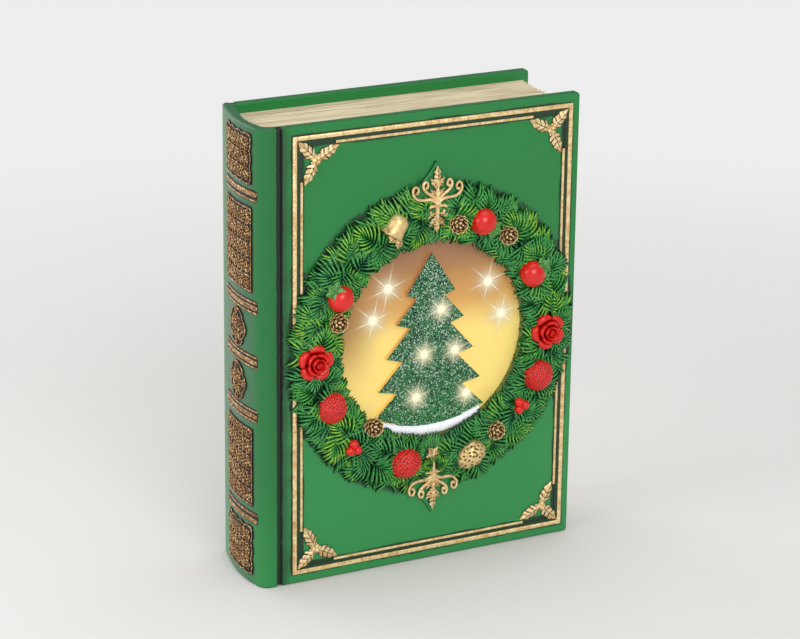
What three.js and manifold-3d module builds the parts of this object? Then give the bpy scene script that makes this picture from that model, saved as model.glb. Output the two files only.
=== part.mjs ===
// A lit resin book that stands upright: a green cover casing round a cream page block,
// a fir wreath in relief round a window with a fir tree, and a battery box in the back.
// Lengths are millimetres, angles are degrees unless a name says otherwise.
// The book frame has x = 0 and z = coverHeight / 2 at the wreath's centre, y = 0 on the
// front board's outer face and y = bookThickness on the back board's outer face.

import * as THREE from 'three';
import * as BufferGeometryUtils from 'three/addons/utils/BufferGeometryUtils.js';
import Module from 'manifold-3d';

const wasm = await Module();
wasm.setup();

// Cover casing
const coverHeight = 260;
const bookThickness = 61.5;
const boardThickness = 5;
const panelToForeEdge = 89.5;
const panelToJoint = 92.7;
const panelToShoulder = 97;
const panelToSpine = 104;
const spineCrown = 1.5;
const frontCornerDepth = 6;
const backCornerDepth = 25.5;
const jointWidth = 3.4;
const jointDepth = 1.5;
const boardCornerRadius = 2;
const coverEdgeBevel = 0.9;

// Clearances
const seatGap = 0.3;
const fitGap = 0.3;
const cutOverrun = 4;

// Page block
const headInset = 5.8;
const foreEdgeInset = 3;
const foreEdgeHollow = 2.6;
const pageWall = 7;
const leafGrooveDepth = 0.5;
const leafGrooveCount = 11;

// Gilt border
const borderHalfWidth = 85.3;
const borderHalfHeight = 124.5;
const outerBeadWidth = 2.6;
const outerBeadHeight = 1.3;
const innerBeadWidth = 1.6;
const innerBeadHeight = 1.1;
const beadSpacing = 4.5;
const beadWebHeight = 0.4;

// Corner holly
const hollyCentreInset = 13.8;
const hollyLeafHalfWidth = 3.4;
const hollyThickness = 2.4;
const hollyBerryRadius = 1.5;
const hollyBerrySinkShare = 0.6;
const hollyBayReach = 22.6;

// Window and backdrop
const windowRadius = 58;
const backdropLip = 6;
const backdropThickness = 2;

// Tree in the window
const treeHeight = 97;
const treeHalfWidth = 34;
const treeFootDepth = 48;
const treeThickness = 3;
const snowCentreRise = 36;
const snowTopRadius = 86;
const snowThickness = 4.2;
const snowEndHalfWidth = 32;

// Light-emitting lamps
const lampRadius = 1.5;
const lampFlange = 0.4;
const lampFlangeHeight = 1;
const lampReach = 0.9;

// Wreath
const wreathRadius = 87;
const wreathOpening = 57;
const wreathSwell = 3.6;
const sprigLength = 19;
const sprigHalfWidth = 8.6;
const sprigThickness = 3.2;
const sprigCount = 17;
const finialMargin = 2.3;
const finialHalfWidth = 22;
const padHeight = 2.4;

// Ornaments in the wreath
const appleRadius = 7.6;
const appleRise = 5.2;
const appleDimpleShare = 0.16;
const dimpleStartShare = 0.8;
const fruitRadius = 8.8;
const fruitRise = 4;
const fruitStretch = 1.12;
const coneRadius = 5.4;
const coneRise = 5.4;
const scaleShare = 0.05;
const nutRadius = 7.2;
const nutRise = 4.4;
const nutStretch = 1.35;
const roseRadius = 10.4;
const roseHeight = 11.5;
const berryRadius = 2.7;
const berryRise = 7.2;
const berryClusterShare = 0.9;
const bellRadius = 6.6;
const bellLength = 13.5;
const bellRise = 5.4;
const bellWall = 1.2;
const bellHollowShare = 1 / 3;
const blossomRadius = 2.6;
const blossomSpread = 32;

// Fleurons
const fleuronReach = 99.5;
const fleuronHalfWidth = 15.3;
const fleuronLength = 37.5;
const fleuronThickness = 3;
const scrollWidthShare = 0.075;
const scrollHeight = 2.2;

// Spine relief
const bandSpacing = 30.8;
const headBandRise = 92.5;
const footBandRise = -90.2;
const outerBandHeight = 6.4;
const innerBandHeight = 7.6;
const bandRelief = 1.1;
const bandFront = 4.4;
const bandBack = 46;
const panelRelief = 0.9;
const panelFront = 8.7;
const panelBack = 43.5;
const endPanelGap = 2.3;
const outerPanelGap = 3.4;
const innerPanelGap = 4.2;
const headPanelHeight = 28.2;
const footPanelHeight = 29;
const lozengeHeight = 22.4;
const lozengeHalfWidth = 11;
const scallopsAcross = 4;

// Battery cells, box and door
const cellRadius = 7.25;
const cellLength = 50.5;
const cellNub = 1;
const cellNubRadius = 2.75;
const cellClearance = 0.4;
const contactRoom = 5.5;
const boxWall = 1.8;
const boxCentreX = -6;
const boxCentreRise = 62;
const boxFlange = 4;
const doorThickness = 2.2;
const doorLedge = 1.4;
const hingePinRadius = 0.8;
const hingePinLength = 1.4;
const doorRibHeight = 0.5;
const thumbNotchRadius = 5;
const gripGrooveCount = 3;
const gripHalfLength = 10;
const gripGrooveWidth = 0.7;
const doorSink = 0.2;

// Switch
const switchBayLength = 15;
const switchFace = 1.6;
const switchSink = 1.6;
const knobLength = 4;
const knobWidth = 4;
const switchTravel = 4;
const sliderFoot = 1.2;
const sliderFootMargin = 1.5;
const switchBodyDepth = 6;
const boardSheet = 1.2;

// Contacts and leads
const contactSheet = 0.5;
const stripReachShare = 0.8;
const stripDepthShare = 0.6;
const springWire = 0.7;
const springRadius = 3.2;
const springTurns = 2;
const springTaperShare = 0.6;
const springStepCount = 10;
const leadRadius = 0.8;
const leadDrop = 7;
const leadBendLength = 5;

// Number of facets
const roundSteps = 48;
const smallRoundSteps = 12;
const pinRoundSteps = 8;
const crownSteps = 8;
const cornerSteps = 5;
const ballSteps = 10;
const ballRings = 6;
const berrySteps = 6;
const berryRings = 4;
const rosePetalCount = 5;
const petalStepCount = 4;
const leadSteps = 44;
const wireSteps = 3;

// Shared helpers: meshes, solids and frames

const panelCentre = coverHeight / 2;
const degree = Math.PI / 180;
const downwards = -90;

function mergedCorners(geometry) {
  const plain = geometry.index ? geometry.toNonIndexed() : geometry.clone();
  plain.deleteAttribute('normal');
  plain.deleteAttribute('uv');
  return BufferGeometryUtils.mergeVertices(plain);
}

function solidOf(geometry) {
  const merged = mergedCorners(geometry);
  return new wasm.Manifold(new wasm.Mesh({
    numProp: 3,
    vertProperties: new Float32Array(merged.attributes.position.array),
    triVerts: new Uint32Array(merged.index.array),
  }));
}

function geometryOf(solid) {
  const mesh = solid.getMesh();
  const geometry = new THREE.BufferGeometry();
  geometry.setAttribute('position', new THREE.BufferAttribute(new Float32Array(mesh.vertProperties), 3));
  geometry.setIndex(new THREE.BufferAttribute(new Uint32Array(mesh.triVerts), 1));
  return geometry;
}

// Keeps the largest of a geometry's separate bodies, without the loose chips that cuts leave.
function largestBody(geometry) {
  const index = [...geometry.index.array];
  const parents = Array.from({ length: geometry.attributes.position.count }, (_, i) => i);
  const rootOf = (vertex) => {
    let root = vertex;
    while (parents[root] !== root) {
      root = parents[root];
    }
    return root;
  };
  for (let i = 0; i < index.length; i += 3) {
    parents[rootOf(index[i + 1])] = rootOf(index[i]);
    parents[rootOf(index[i + 2])] = rootOf(index[i]);
  }
  const counts = new Map();
  index.forEach((vertex) => counts.set(rootOf(vertex), (counts.get(rootOf(vertex)) ?? 0) + 1));
  const [largest] = [...counts].sort(([, a], [, b]) => b - a)[0];
  const kept = geometry.clone();
  kept.setIndex(index.filter((vertex) => rootOf(vertex) === largest));
  return mergedCorners(kept);
}

function joined(geometries) {
  return geometries.map(solidOf).reduce((whole, piece) => whole.add(piece));
}

function cutBy(solid, geometries) {
  return geometries.reduce((left, cutter) => left.subtract(solidOf(cutter)), solid);
}

// A drawing in x and z that grows towards the viewer, from the face at depth y.
function frontPlate(shape, y, height, curveSegments = smallRoundSteps) {
  const plate = new THREE.ExtrudeGeometry(shape, { depth: height, bevelEnabled: false, curveSegments });
  plate.applyMatrix4(new THREE.Matrix4().set(1, 0, 0, 0, 0, 0, -1, y, 0, 1, 0, 0, 0, 0, 0, 1));
  return plate;
}

// A plan in x and y that stands from height low to height high.
function upright(shape, low, high) {
  const body = new THREE.ExtrudeGeometry(shape, { depth: high - low, bevelEnabled: false });
  return body.translate(0, 0, low);
}

// A box between two corners.
function block(low, high) {
  const size = high.map((value, axis) => value - low[axis]);
  const box = new THREE.BoxGeometry(...size);
  return box.translate(...low.map((value, axis) => value + size[axis] / 2));
}

// A cylinder along y, from depth yLow to depth yHigh.
function discAt(x, z, radius, yLow, yHigh, steps = smallRoundSteps) {
  const disc = new THREE.CylinderGeometry(radius, radius, yHigh - yLow, steps);
  return disc.translate(x, (yLow + yHigh) / 2, z);
}

// A cylinder along x, from xLow to xHigh.
function rodAt(y, z, radius, xLow, xHigh, steps = smallRoundSteps) {
  const rod = new THREE.CylinderGeometry(radius, radius, xHigh - xLow, steps);
  rod.applyMatrix4(new THREE.Matrix4().set(0, 1, 0, 0, 0, 0, 1, 0, 1, 0, 0, 0, 0, 0, 0, 1));
  return rod.translate((xLow + xHigh) / 2, y, z);
}

// A closed body from points and triangles.
function bodyOf(points, triangles) {
  const geometry = new THREE.BufferGeometry();
  geometry.setAttribute('position', new THREE.Float32BufferAttribute(points.flat(), 3));
  geometry.setIndex(triangles.flat());
  return geometry;
}

function polygon(points) {
  return new THREE.Shape(points.map(([a, b]) => new THREE.Vector2(a, b)));
}

function arcPoints(centre, radius, from, to, steps) {
  const points = [];
  for (let i = 0; i <= steps; i += 1) {
    const angle = (from + (to - from) * i / steps) * degree;
    points.push([centre[0] + radius * Math.cos(angle), centre[1] + radius * Math.sin(angle)]);
  }
  return points;
}

function mirrored(points) {
  return points.map(([a, b]) => [-a, b]).reverse();
}

// A path in x and z swept with a profile of [across, height] corners that is closed on y.
// Corners are mitred.
function sweptRelief(path, profile, y) {
  const section = profile.map(([across, height]) => new THREE.Vector2(across, height));
  if (THREE.ShapeUtils.isClockWise(section)) {
    section.reverse();
  }
  const points = [];
  path.forEach(([x, z], i) => {
    const before = path[Math.max(i - 1, 0)];
    const after = path[Math.min(i + 1, path.length - 1)];
    const inward = new THREE.Vector2(x - before[0], z - before[1]).normalize();
    const outward = new THREE.Vector2(after[0] - x, after[1] - z).normalize();
    const along = inward.clone().add(outward).normalize();
    const mitre = 1 / Math.max(along.dot(i ? inward : outward), Math.SQRT1_2);
    section.forEach((corner) => points.push([
      x - along.y * corner.x * mitre,
      y - corner.y,
      z + along.x * corner.x * mitre,
    ]));
  });
  const n = section.length;
  const triangles = [];
  for (let i = 0; i < path.length - 1; i += 1) {
    for (let k = 0; k < n; k += 1) {
      const a = i * n + k;
      const b = i * n + (k + 1) % n;
      triangles.push([a, b, b + n], [a, b + n, a + n]);
    }
  }
  const last = (path.length - 1) * n;
  THREE.ShapeUtils.triangulateShape(section, []).forEach(([a, b, c]) => {
    triangles.push([a, c, b], [last + a, last + b, last + c]);
  });
  return outwardFacing(bodyOf(points, triangles));
}

// Merges the corners that faces share, and turns every face round in a body that is inside out.
function outwardFacing(split) {
  const geometry = mergedCorners(split);
  const position = geometry.attributes.position;
  const index = geometry.index.array;
  const corner = [0, 1, 2].map(() => new THREE.Vector3());
  let volume = 0;
  for (let i = 0; i < index.length; i += 3) {
    corner.forEach((point, k) => point.fromBufferAttribute(position, index[i + k]));
    volume += corner[0].dot(corner[1].cross(corner[2]));
  }
  if (volume < 0) {
    for (let i = 0; i < index.length; i += 3) {
      [index[i], index[i + 1]] = [index[i + 1], index[i]];
    }
  }
  return geometry;
}

// A leaf that lies along +x with its flat back on z = 0 and its rib on top. Each station is
// [rib along, edge along, half width, rib height] in shares of the leaf's sizes.
function ribbedLeaf(length, halfWidth, thickness, stationShares) {
  const points = stationShares.flatMap(([rib, edge, width, rise]) => [
    [rib * length, 0, rise * thickness],
    [edge * length, width * halfWidth, 0],
    [edge * length, -width * halfWidth, 0],
  ]);
  const corners = 3;
  const last = (stationShares.length - 1) * corners;
  const triangles = [[0, 1, 2], [last, last + 2, last + 1]];
  for (let here = 0; here < last; here += corners) {
    for (let k = 0; k < corners; k += 1) {
      const a = here + k;
      const b = here + (k + 1) % corners;
      triangles.push([a, a + corners, b], [b, a + corners, b + corners]);
    }
  }
  return outwardFacing(bodyOf(points, triangles));
}

// Lays a leaf on the front: its root at x, z, its tip towards heading, its back at height,
// its tip raised by tilt and its face rolled about its rib by roll.
function laidLeaf(leaf, x, z, y, heading, tilt = 0, roll = 0) {
  const laid = leaf.clone();
  laid.applyMatrix4(new THREE.Matrix4().makeRotationX(roll * degree));
  laid.applyMatrix4(new THREE.Matrix4().makeRotationY(-tilt * degree));
  laid.applyMatrix4(new THREE.Matrix4().makeRotationZ(heading * degree));
  laid.applyMatrix4(new THREE.Matrix4().set(1, 0, 0, x, 0, 0, -1, y, 0, 1, 0, z, 0, 0, 0, 1));
  return laid;
}

// A body from a top point, rings of steps points and a flat bottom.
function ringedBody(points, steps, rings) {
  const triangles = [];
  const lastRing = 1 + (rings - 1) * steps;
  const all = [...points, [0, 0, 0]];
  for (let i = 0; i < steps; i += 1) {
    const next = (i + 1) % steps;
    triangles.push([0, 1 + i, 1 + next], [all.length - 1, lastRing + next, lastRing + i]);
    for (let upper = 1; upper < lastRing; upper += steps) {
      const lower = upper + steps;
      triangles.push([upper + i, lower + i, upper + next], [upper + next, lower + i, lower + next]);
    }
  }
  return outwardFacing(bodyOf(all, triangles));
}

// A ball whose middle stands out of the front by rise, with straight sides below the middle.
// swell gives the radius as a share, from the place [along, across] seen from the front,
// where along points to the heading, and from the ring's number.
function reliefBall({
  x, z, radius, rise, heading = 0, stretch = 1, swell = () => 1, steps = ballSteps, rings = ballRings,
}) {
  const points = [[0, 0, rise + radius]];
  for (let ring = 1; ring <= rings; ring += 1) {
    const ballRing = Math.min(ring, rings - 1);
    const fall = ballRing / (rings - 1) * Math.PI / 2;
    for (let i = 0; i < steps; i += 1) {
      const turn = 2 * Math.PI * (i + (ballRing % 2) / 2) / steps;
      const place = [Math.sin(fall) * Math.cos(turn), Math.sin(fall) * Math.sin(turn)];
      const size = radius * swell(place, ballRing);
      const height = ring === rings ? 0 : rise + size * Math.cos(fall);
      points.push([size * place[0] * stretch, size * place[1], height]);
    }
  }
  return laidLeaf(ringedBody(points, steps, rings), x, z, 0, heading);
}

// Places on the wreath: an angle from +x in degrees, and a share of the wreath's radius.
function onWreath(angle, radiusShare) {
  const radius = wreathRadius * radiusShare;
  return [radius * Math.cos(angle * degree), panelCentre + radius * Math.sin(angle * degree)];
}

function finish(color, roughness, metalness = 0) {
  return new THREE.MeshStandardMaterial({ color, roughness, metalness });
}

const book = new THREE.Group();

function addPiece(name, geometry, material) {
  const piece = new THREE.Mesh(geometry, material);
  piece.name = name;
  book.add(piece);
}

// Cover casing: a front board, a rounded spine and a back board in one casting

// The spine's plan from its front shoulder to its back shoulder, inset from the outer face.
function spinePlan(inset) {
  const front = inset;
  const back = bookThickness - inset;
  const spineX = -(panelToSpine - inset);
  const shoulderX = -(panelToShoulder - inset);
  const crownFront = frontCornerDepth + inset / 2;
  const crownBack = bookThickness - backCornerDepth - inset / 2;
  const slope = 4 * spineCrown / (crownBack - crownFront);
  const crownMiddle = new THREE.Vector2(spineX - 2 * spineCrown, (crownFront + crownBack) / 2);
  const curve = (from, control, to, steps) =>
    new THREE.QuadraticBezierCurve(from, control, to).getPoints(steps);
  const corner = (y, facing) => new THREE.Vector2(spineX + slope * Math.abs(facing - y), facing);
  const start = new THREE.Vector2(spineX, crownFront);
  const end = new THREE.Vector2(spineX, crownBack);
  return [
    ...curve(new THREE.Vector2(shoulderX, front), corner(crownFront, front), start, cornerSteps),
    ...curve(start, crownMiddle, end, crownSteps).slice(1),
    ...curve(end, corner(crownBack, back), new THREE.Vector2(shoulderX, back), cornerSteps).slice(1),
  ];
}

function jointGroove(y, inwards) {
  const half = jointWidth / 2;
  return [1, 0.5, -0.5, -1].map((share) => [
    -panelToJoint + half * share,
    y + inwards * jointDepth * (Math.abs(share) === 1 ? 0 : 1),
  ]);
}

function casingPlan() {
  const outer = spinePlan(0).map((point) => point.toArray());
  const inner = spinePlan(boardThickness).map((point) => point.toArray());
  return polygon([
    [panelToForeEdge, 0],
    ...jointGroove(0, 1),
    ...outer,
    ...jointGroove(bookThickness, -1).reverse(),
    [panelToForeEdge, bookThickness],
    [panelToForeEdge, bookThickness - boardThickness],
    ...inner.reverse(),
    [panelToForeEdge, boardThickness],
  ]);
}

const boxDepth = doorThickness + doorLedge + 2 * cellRadius + cellClearance + boxWall;
const bayLength = cellLength + cellNub + contactRoom;
const bayHeight = 4 * cellRadius + 3 * cellClearance + doorLedge;
const boxHalfHeight = bayHeight / 2 + boxWall;
const boxHalfLength = (bayLength + switchBayLength + 3 * boxWall) / 2;
const boxLeft = boxCentreX - boxHalfLength;
const boxRight = boxCentreX + boxHalfLength;
const boxFront = bookThickness - boxDepth;

function boardOutline() {
  const left = -(panelToSpine + spineCrown + cutOverrun);
  const r = boardCornerRadius;
  return polygon([
    [left, 0],
    ...arcPoints([panelToForeEdge - r, r], r, -90, 0, cornerSteps),
    ...arcPoints([panelToForeEdge - r, coverHeight - r], r, 0, 90, cornerSteps),
    [left, coverHeight],
  ]);
}

function coverCasing() {
  const plan = new THREE.ExtrudeGeometry(casingPlan(), {
    depth: coverHeight - 2 * coverEdgeBevel,
    bevelEnabled: true,
    bevelSegments: 1,
    bevelSize: coverEdgeBevel,
    bevelOffset: -coverEdgeBevel,
    bevelThickness: coverEdgeBevel,
  }).translate(0, 0, coverEdgeBevel);
  const outline = frontPlate(boardOutline(), bookThickness + cutOverrun, bookThickness + 2 * cutOverrun);
  const casing = solidOf(plan).intersect(solidOf(outline));
  return geometryOf(cutBy(casing, [
    discAt(0, panelCentre, windowRadius, -cutOverrun, boardThickness + cutOverrun, roundSteps),
    block(
      [boxLeft - fitGap, bookThickness - boardThickness - cutOverrun, boxCentreRise - boxHalfHeight - fitGap],
      [boxRight + fitGap, bookThickness + cutOverrun, boxCentreRise + boxHalfHeight + fitGap],
    ),
  ]));
}

addPiece('cover_casing', coverCasing(), finish(0x2d894a, 0.35));

// Page block: a hollow frame whose head, tail and fore edge are ribbed like closed leaves

const pageFore = panelToForeEdge - foreEdgeInset;
const pageFront = boardThickness;
const pageBack = bookThickness - boardThickness;

// Across the pages a shallow groove lies between each pair of leaf bundles.
function leafProfile(depthAt) {
  const points = [];
  for (let i = 0; i <= 2 * leafGrooveCount; i += 1) {
    const share = i / (2 * leafGrooveCount);
    points.push([pageFront + (pageBack - pageFront) * share, depthAt(share) + (i % 2) * leafGrooveDepth]);
  }
  return points;
}

function pageBlock() {
  const spineSide = spinePlan(boardThickness + fitGap).slice(1, -1).map((point) => point.toArray());
  const hollow = (share) => foreEdgeHollow * 4 * share * (1 - share);
  const foreSide = leafProfile(hollow).map(([y, depth]) => [pageFore - depth, y]);
  const left = -(panelToShoulder - boardThickness - fitGap);
  const plan = polygon([[left, pageFront], ...foreSide, [left, pageBack], ...spineSide.reverse()]);
  const ridges = leafProfile(() => headInset);
  const side = polygon([...ridges, ...ridges.map(([y, depth]) => [y, coverHeight - depth]).reverse()]);
  const reach = panelToSpine + spineCrown + cutOverrun;
  const profile = new THREE.ExtrudeGeometry(side, { depth: 2 * reach, bevelEnabled: false });
  profile.applyMatrix4(new THREE.Matrix4().set(0, 0, 1, -reach, 1, 0, 0, 0, 0, 1, 0, 0, 0, 0, 0, 1));
  const leaves = solidOf(upright(plan, 0, coverHeight)).intersect(solidOf(profile));
  const chamber = block(
    [-(panelToShoulder - boardThickness - pageWall), pageFront - cutOverrun, headInset + pageWall],
    [pageFore - foreEdgeHollow - pageWall, pageBack + cutOverrun, coverHeight - headInset - pageWall],
  );
  return geometryOf(cutBy(leaves, [chamber]));
}

addPiece('page_block', pageBlock(), finish(0xcdbe96, 0.8));

// Gilt border: two beads joined by a thin web, cut short where the wreath and corners lie

// The arch of a bead, in shares of its width and height.
const beadArchShares = [[0.15, 0.7], [0.5, 1], [0.85, 0.7]];

function borderHalf(turned) {
  const arch = (from, width, height) =>
    beadArchShares.map(([across, up]) => [from + across * width, up * height]);
  const profile = [
    [0, 0],
    ...arch(0, outerBeadWidth, outerBeadHeight),
    [outerBeadWidth, beadWebHeight],
    [beadSpacing, beadWebHeight],
    ...arch(beadSpacing, innerBeadWidth, innerBeadHeight),
    [beadSpacing + innerBeadWidth, 0],
  ];
  const half = sweptRelief([
    [-borderHalfWidth, 0],
    [-borderHalfWidth, borderHalfHeight],
    [borderHalfWidth, borderHalfHeight],
    [borderHalfWidth, 0],
  ], profile.map(([across, height]) => [-across, height]), 0);
  const bayEdge = borderHalfWidth - outerBeadWidth - seatGap;
  const bayTop = borderHalfHeight - outerBeadWidth - seatGap;
  const bays = [-1, 1].map((side) => block(
    [Math.min(side * bayEdge, side * (bayEdge - hollyBayReach)), -cutOverrun, bayTop - hollyBayReach],
    [Math.max(side * bayEdge, side * (bayEdge - hollyBayReach)), cutOverrun, bayTop],
  ));
  const wreathPlace = discAt(0, 0, wreathRadius + seatGap, -cutOverrun, cutOverrun, roundSteps);
  const cut = geometryOf(cutBy(solidOf(half), [...bays, wreathPlace]));
  if (turned) {
    cut.applyMatrix4(new THREE.Matrix4().makeScale(-1, 1, -1));
  }
  return cut.translate(0, 0, panelCentre);
}

const gilt = finish(0xc8a05a, 0.4, 0.6);
addPiece('border_top', borderHalf(false), gilt.clone());
addPiece('border_bottom', borderHalf(true), gilt.clone());

// Corner holly: three toothed leaves and three berries in each corner of the border

const hollyStationShares = [
  [0, 0, 0.18, 0.7],
  [0.12, 0.16, 0.8, 0.9],
  [0.3, 0.28, 0.5, 1],
  [0.42, 0.5, 1, 0.95],
  [0.6, 0.6, 0.55, 0.85],
  [0.74, 0.8, 0.65, 0.7],
  [1, 1, 0.04, 0.3],
];

// The first corner's leaves in degrees: the middle one points to the corner of the border.
const hollyHeadings = [135, 243, 27];
const firstBerryTurn = 60;
const quarterTurn = 90;

// Three directions that share a turn evenly, in degrees.
function threeWays(first) {
  return [0, 1, 2].map((i) => first + i * 120);
}

const hollyLeafLength = (hollyCentreInset - outerBeadWidth - 2 * seatGap) * Math.SQRT2;

function cornerHolly(quarter) {
  const leaf = ribbedLeaf(hollyLeafLength, hollyLeafHalfWidth, hollyThickness, hollyStationShares);
  const leaves = hollyHeadings.map((heading) => laidLeaf(leaf, 0, 0, 0, heading - quarterTurn * quarter));
  const berries = threeWays(firstBerryTurn).map((turn) => reliefBall({
    x: berryClusterShare * hollyBerryRadius * Math.cos(turn * degree),
    z: berryClusterShare * hollyBerryRadius * Math.sin(turn * degree),
    radius: hollyBerryRadius,
    rise: hollyThickness * hollyBerrySinkShare,
    steps: berrySteps,
    rings: berryRings,
  }));
  const sideX = quarter === 0 || quarter === 3 ? -1 : 1;
  const sideZ = quarter < 2 ? 1 : -1;
  const sprig = geometryOf(joined([...leaves, ...berries]));
  return sprig.translate(
    sideX * (borderHalfWidth - hollyCentreInset),
    0,
    panelCentre + sideZ * (borderHalfHeight - hollyCentreInset),
  );
}

['top_left', 'top_right', 'bottom_right', 'bottom_left'].forEach((corner, quarter) => {
  addPiece(`corner_holly_${corner}`, cornerHolly(quarter), gilt.clone());
});

// Ornaments: each stands in a well that runs through the wreath to the cover

// The calyx sits in a shallow dimple on the side that the heading points to.
function appleSwell([along]) {
  return 1 - appleDimpleShare * Math.max(along - dimpleStartShare, 0) / (1 - dimpleStartShare);
}

// Rings stand out in turn, like the scales of a cone.
function scaleSwell(place, ring) {
  return ring % 2 ? 1 + scaleShare : 1 - scaleShare;
}

// Rings of the rose from its bud outwards: [radius, height, lobe depth, lobe turn] in shares.
const roseRingShares = [
  [0.14, 0.98, 0, 0],
  [0.24, 0.72, 0.1, 0],
  [0.4, 0.9, 0.16, 0],
  [0.5, 0.56, 0.1, 0.5],
  [0.78, 0.66, 0.16, 0.5],
  [0.96, 0.4, 0.14, 0.5],
  [0.94, 0, 0.12, 0.5],
];

// A rose seen from above: petal lobes in rings round a raised bud.
function rose(x, z, heading) {
  const steps = rosePetalCount * petalStepCount;
  const points = [[0, 0, roseHeight]];
  roseRingShares.forEach(([radius, height, lobe, turn]) => {
    for (let i = 0; i < steps; i += 1) {
      const angle = 2 * Math.PI * i / steps;
      const wave = Math.cos(rosePetalCount * angle - 2 * Math.PI * turn);
      const reach = roseRadius * (radius + lobe * (wave - 1) / 2);
      points.push([reach * Math.cos(angle), reach * Math.sin(angle), roseHeight * height]);
    }
  });
  return solidOf(laidLeaf(ringedBody(points, steps, roseRingShares.length), x, z, 0, heading));
}

// Three berries that touch one another.
function berries(x, z, heading) {
  return joined(threeWays(quarterTurn).map((angle) => reliefBall({
    x: x + berryClusterShare * berryRadius * Math.cos((angle + heading) * degree),
    z: z + berryClusterShare * berryRadius * Math.sin((angle + heading) * degree),
    radius: berryRadius,
    rise: berryRise,
    steps: berrySteps,
    rings: berryRings,
  })));
}

// Radius and place of the bell's outer face from its crown to its mouth, in shares.
const bellProfileShares = [
  [0, 1], [0.45, 0.97], [0.75, 0.85], [0.88, 0.62], [0.92, 0.3], [1, 0.08], [1.08, 0],
];

// The bell lies on its side, its crown towards the heading, with two blossoms at its mouth.
function bell(x, z, heading) {
  const mouth = -bellLength / 2;
  const outer = bellProfileShares.map(([radius, along]) =>
    new THREE.Vector2(radius * bellRadius, mouth + along * bellLength));
  const hollow = [
    new THREE.Vector2(0, mouth + bellHollowShare * bellLength),
    new THREE.Vector2(bellRadius - bellWall, mouth),
  ];
  const body = new THREE.LatheGeometry([...hollow, ...outer.reverse()], smallRoundSteps);
  body.applyMatrix4(new THREE.Matrix4().makeRotationZ((heading - 90) * degree));
  body.applyMatrix4(new THREE.Matrix4().set(1, 0, 0, x, 0, 0, -1, -bellRise, 0, 1, 0, z, 0, 0, 0, 1));
  const blossoms = [-blossomSpread, blossomSpread].map((spread) => {
    const angle = (heading + 180 + spread) * degree;
    return reliefBall({
      x: x + bellLength / 2 * Math.cos(angle),
      z: z + bellLength / 2 * Math.sin(angle),
      radius: blossomRadius,
      rise: bellRise,
      steps: berrySteps,
      rings: berryRings,
    });
  });
  const front = block(
    [x - 2 * bellLength, -2 * bellLength, z - 2 * bellLength],
    [x + 2 * bellLength, 0, z + 2 * bellLength],
  );
  return joined([outwardFacing(body), ...blossoms]).intersect(solidOf(front));
}

// How each kind of ornament is made, how far it reaches, and its finish.
const ornamentKinds = {
  apple: {
    make: (x, z, heading) => solidOf(reliefBall({
      x, z, heading, radius: appleRadius, rise: appleRise, swell: appleSwell,
    })),
    reach: appleRadius,
    material: finish(0xc8261e, 0.25),
  },
  fruit: {
    make: (x, z, heading) => solidOf(reliefBall({
      x, z, heading, radius: fruitRadius, rise: fruitRise, stretch: fruitStretch,
    })),
    reach: fruitRadius * fruitStretch,
    material: finish(0xc02420, 0.45),
  },
  nut: {
    make: (x, z, heading) => solidOf(reliefBall({
      x, z, heading, radius: nutRadius, rise: nutRise, stretch: nutStretch, swell: scaleSwell,
    })),
    reach: nutRadius * nutStretch * (1 + scaleShare),
    material: finish(0xd0a85a, 0.35, 0.7),
  },
  cone: {
    make: (x, z) => solidOf(reliefBall({ x, z, radius: coneRadius, rise: coneRise, swell: scaleSwell })),
    reach: coneRadius * (1 + scaleShare),
    material: finish(0x6e5230, 0.5, 0.3),
  },
  rose: { make: rose, reach: roseRadius, material: finish(0xc8261e, 0.3) },
  berries: { make: berries, reach: 2 * berryRadius, material: finish(0xcc2820, 0.25) },
  bell: {
    make: bell,
    reach: Math.max(
      bellLength / 2 + blossomRadius,
      Math.hypot(bellLength / 2, bellRadius * bellProfileShares[bellProfileShares.length - 1][0]),
    ),
    material: finish(0xd8b060, 0.3, 0.8),
  },
};

// Where the ornaments stand: [name, kind, angle, share of the wreath's radius, heading].
const ornamentPlaces = [
  ['golden_bell', 'bell', 109, 0.853, 58],
  ['apple_top', 'apple', 67.1, 0.813, -40],
  ['apple_right', 'apple', 27.6, 0.77, 35],
  ['apple_left', 'apple', 150.6, 0.782, 130],
  ['rose_left', 'rose', 181.1, 0.838, 0],
  ['rose_right', 'rose', -3.2, 0.814, 20],
  ['frosted_fruit_left', 'fruit', 204.2, 0.803, 60],
  ['frosted_fruit_right', 'fruit', -24.6, 0.823, 70],
  ['frosted_fruit_bottom', 'fruit', 254.8, 0.814, 20],
  ['golden_nut', 'nut', -72.2, 0.845, 30],
  ['pine_cone_1', 'cone', 79.7, 0.768, 0],
  ['pine_cone_2', 'cone', 51.9, 0.808, 0],
  ['pine_cone_3', 'cone', 162, 0.731, 0],
  ['pine_cone_4', 'cone', 228.5, 0.668, 0],
  ['pine_cone_5', 'cone', -56.7, 0.798, 0],
  ['holly_berries_left', 'berries', 226.4, 0.856, 0],
  ['holly_berries_right', 'berries', -40.6, 0.797, 30],
];

const wells = ornamentPlaces.map(([name, kind, angle, radiusShare, heading]) => {
  const { make, reach, material } = ornamentKinds[kind];
  const [x, z] = onWreath(angle, radiusShare);
  addPiece(name, geometryOf(make(x, z, heading)), material.clone());
  const wellRadius = (reach + seatGap) / Math.cos(Math.PI / smallRoundSteps);
  return discAt(x, z, wellRadius, -3 * reach, cutOverrun);
});

// Fir wreath: a swollen ring with pointed pads at head and foot, covered in fir sprigs

const sprigStationShares = [
  [0, 0, 0.14, 0.8],
  [0.1, 0.42, 1, 0.9],
  [0.36, 0.34, 0.42, 1],
  [0.5, 0.82, 0.8, 0.9],
  [0.72, 0.68, 0.26, 0.8],
  [1, 1, 0.03, 0.4],
];

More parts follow.
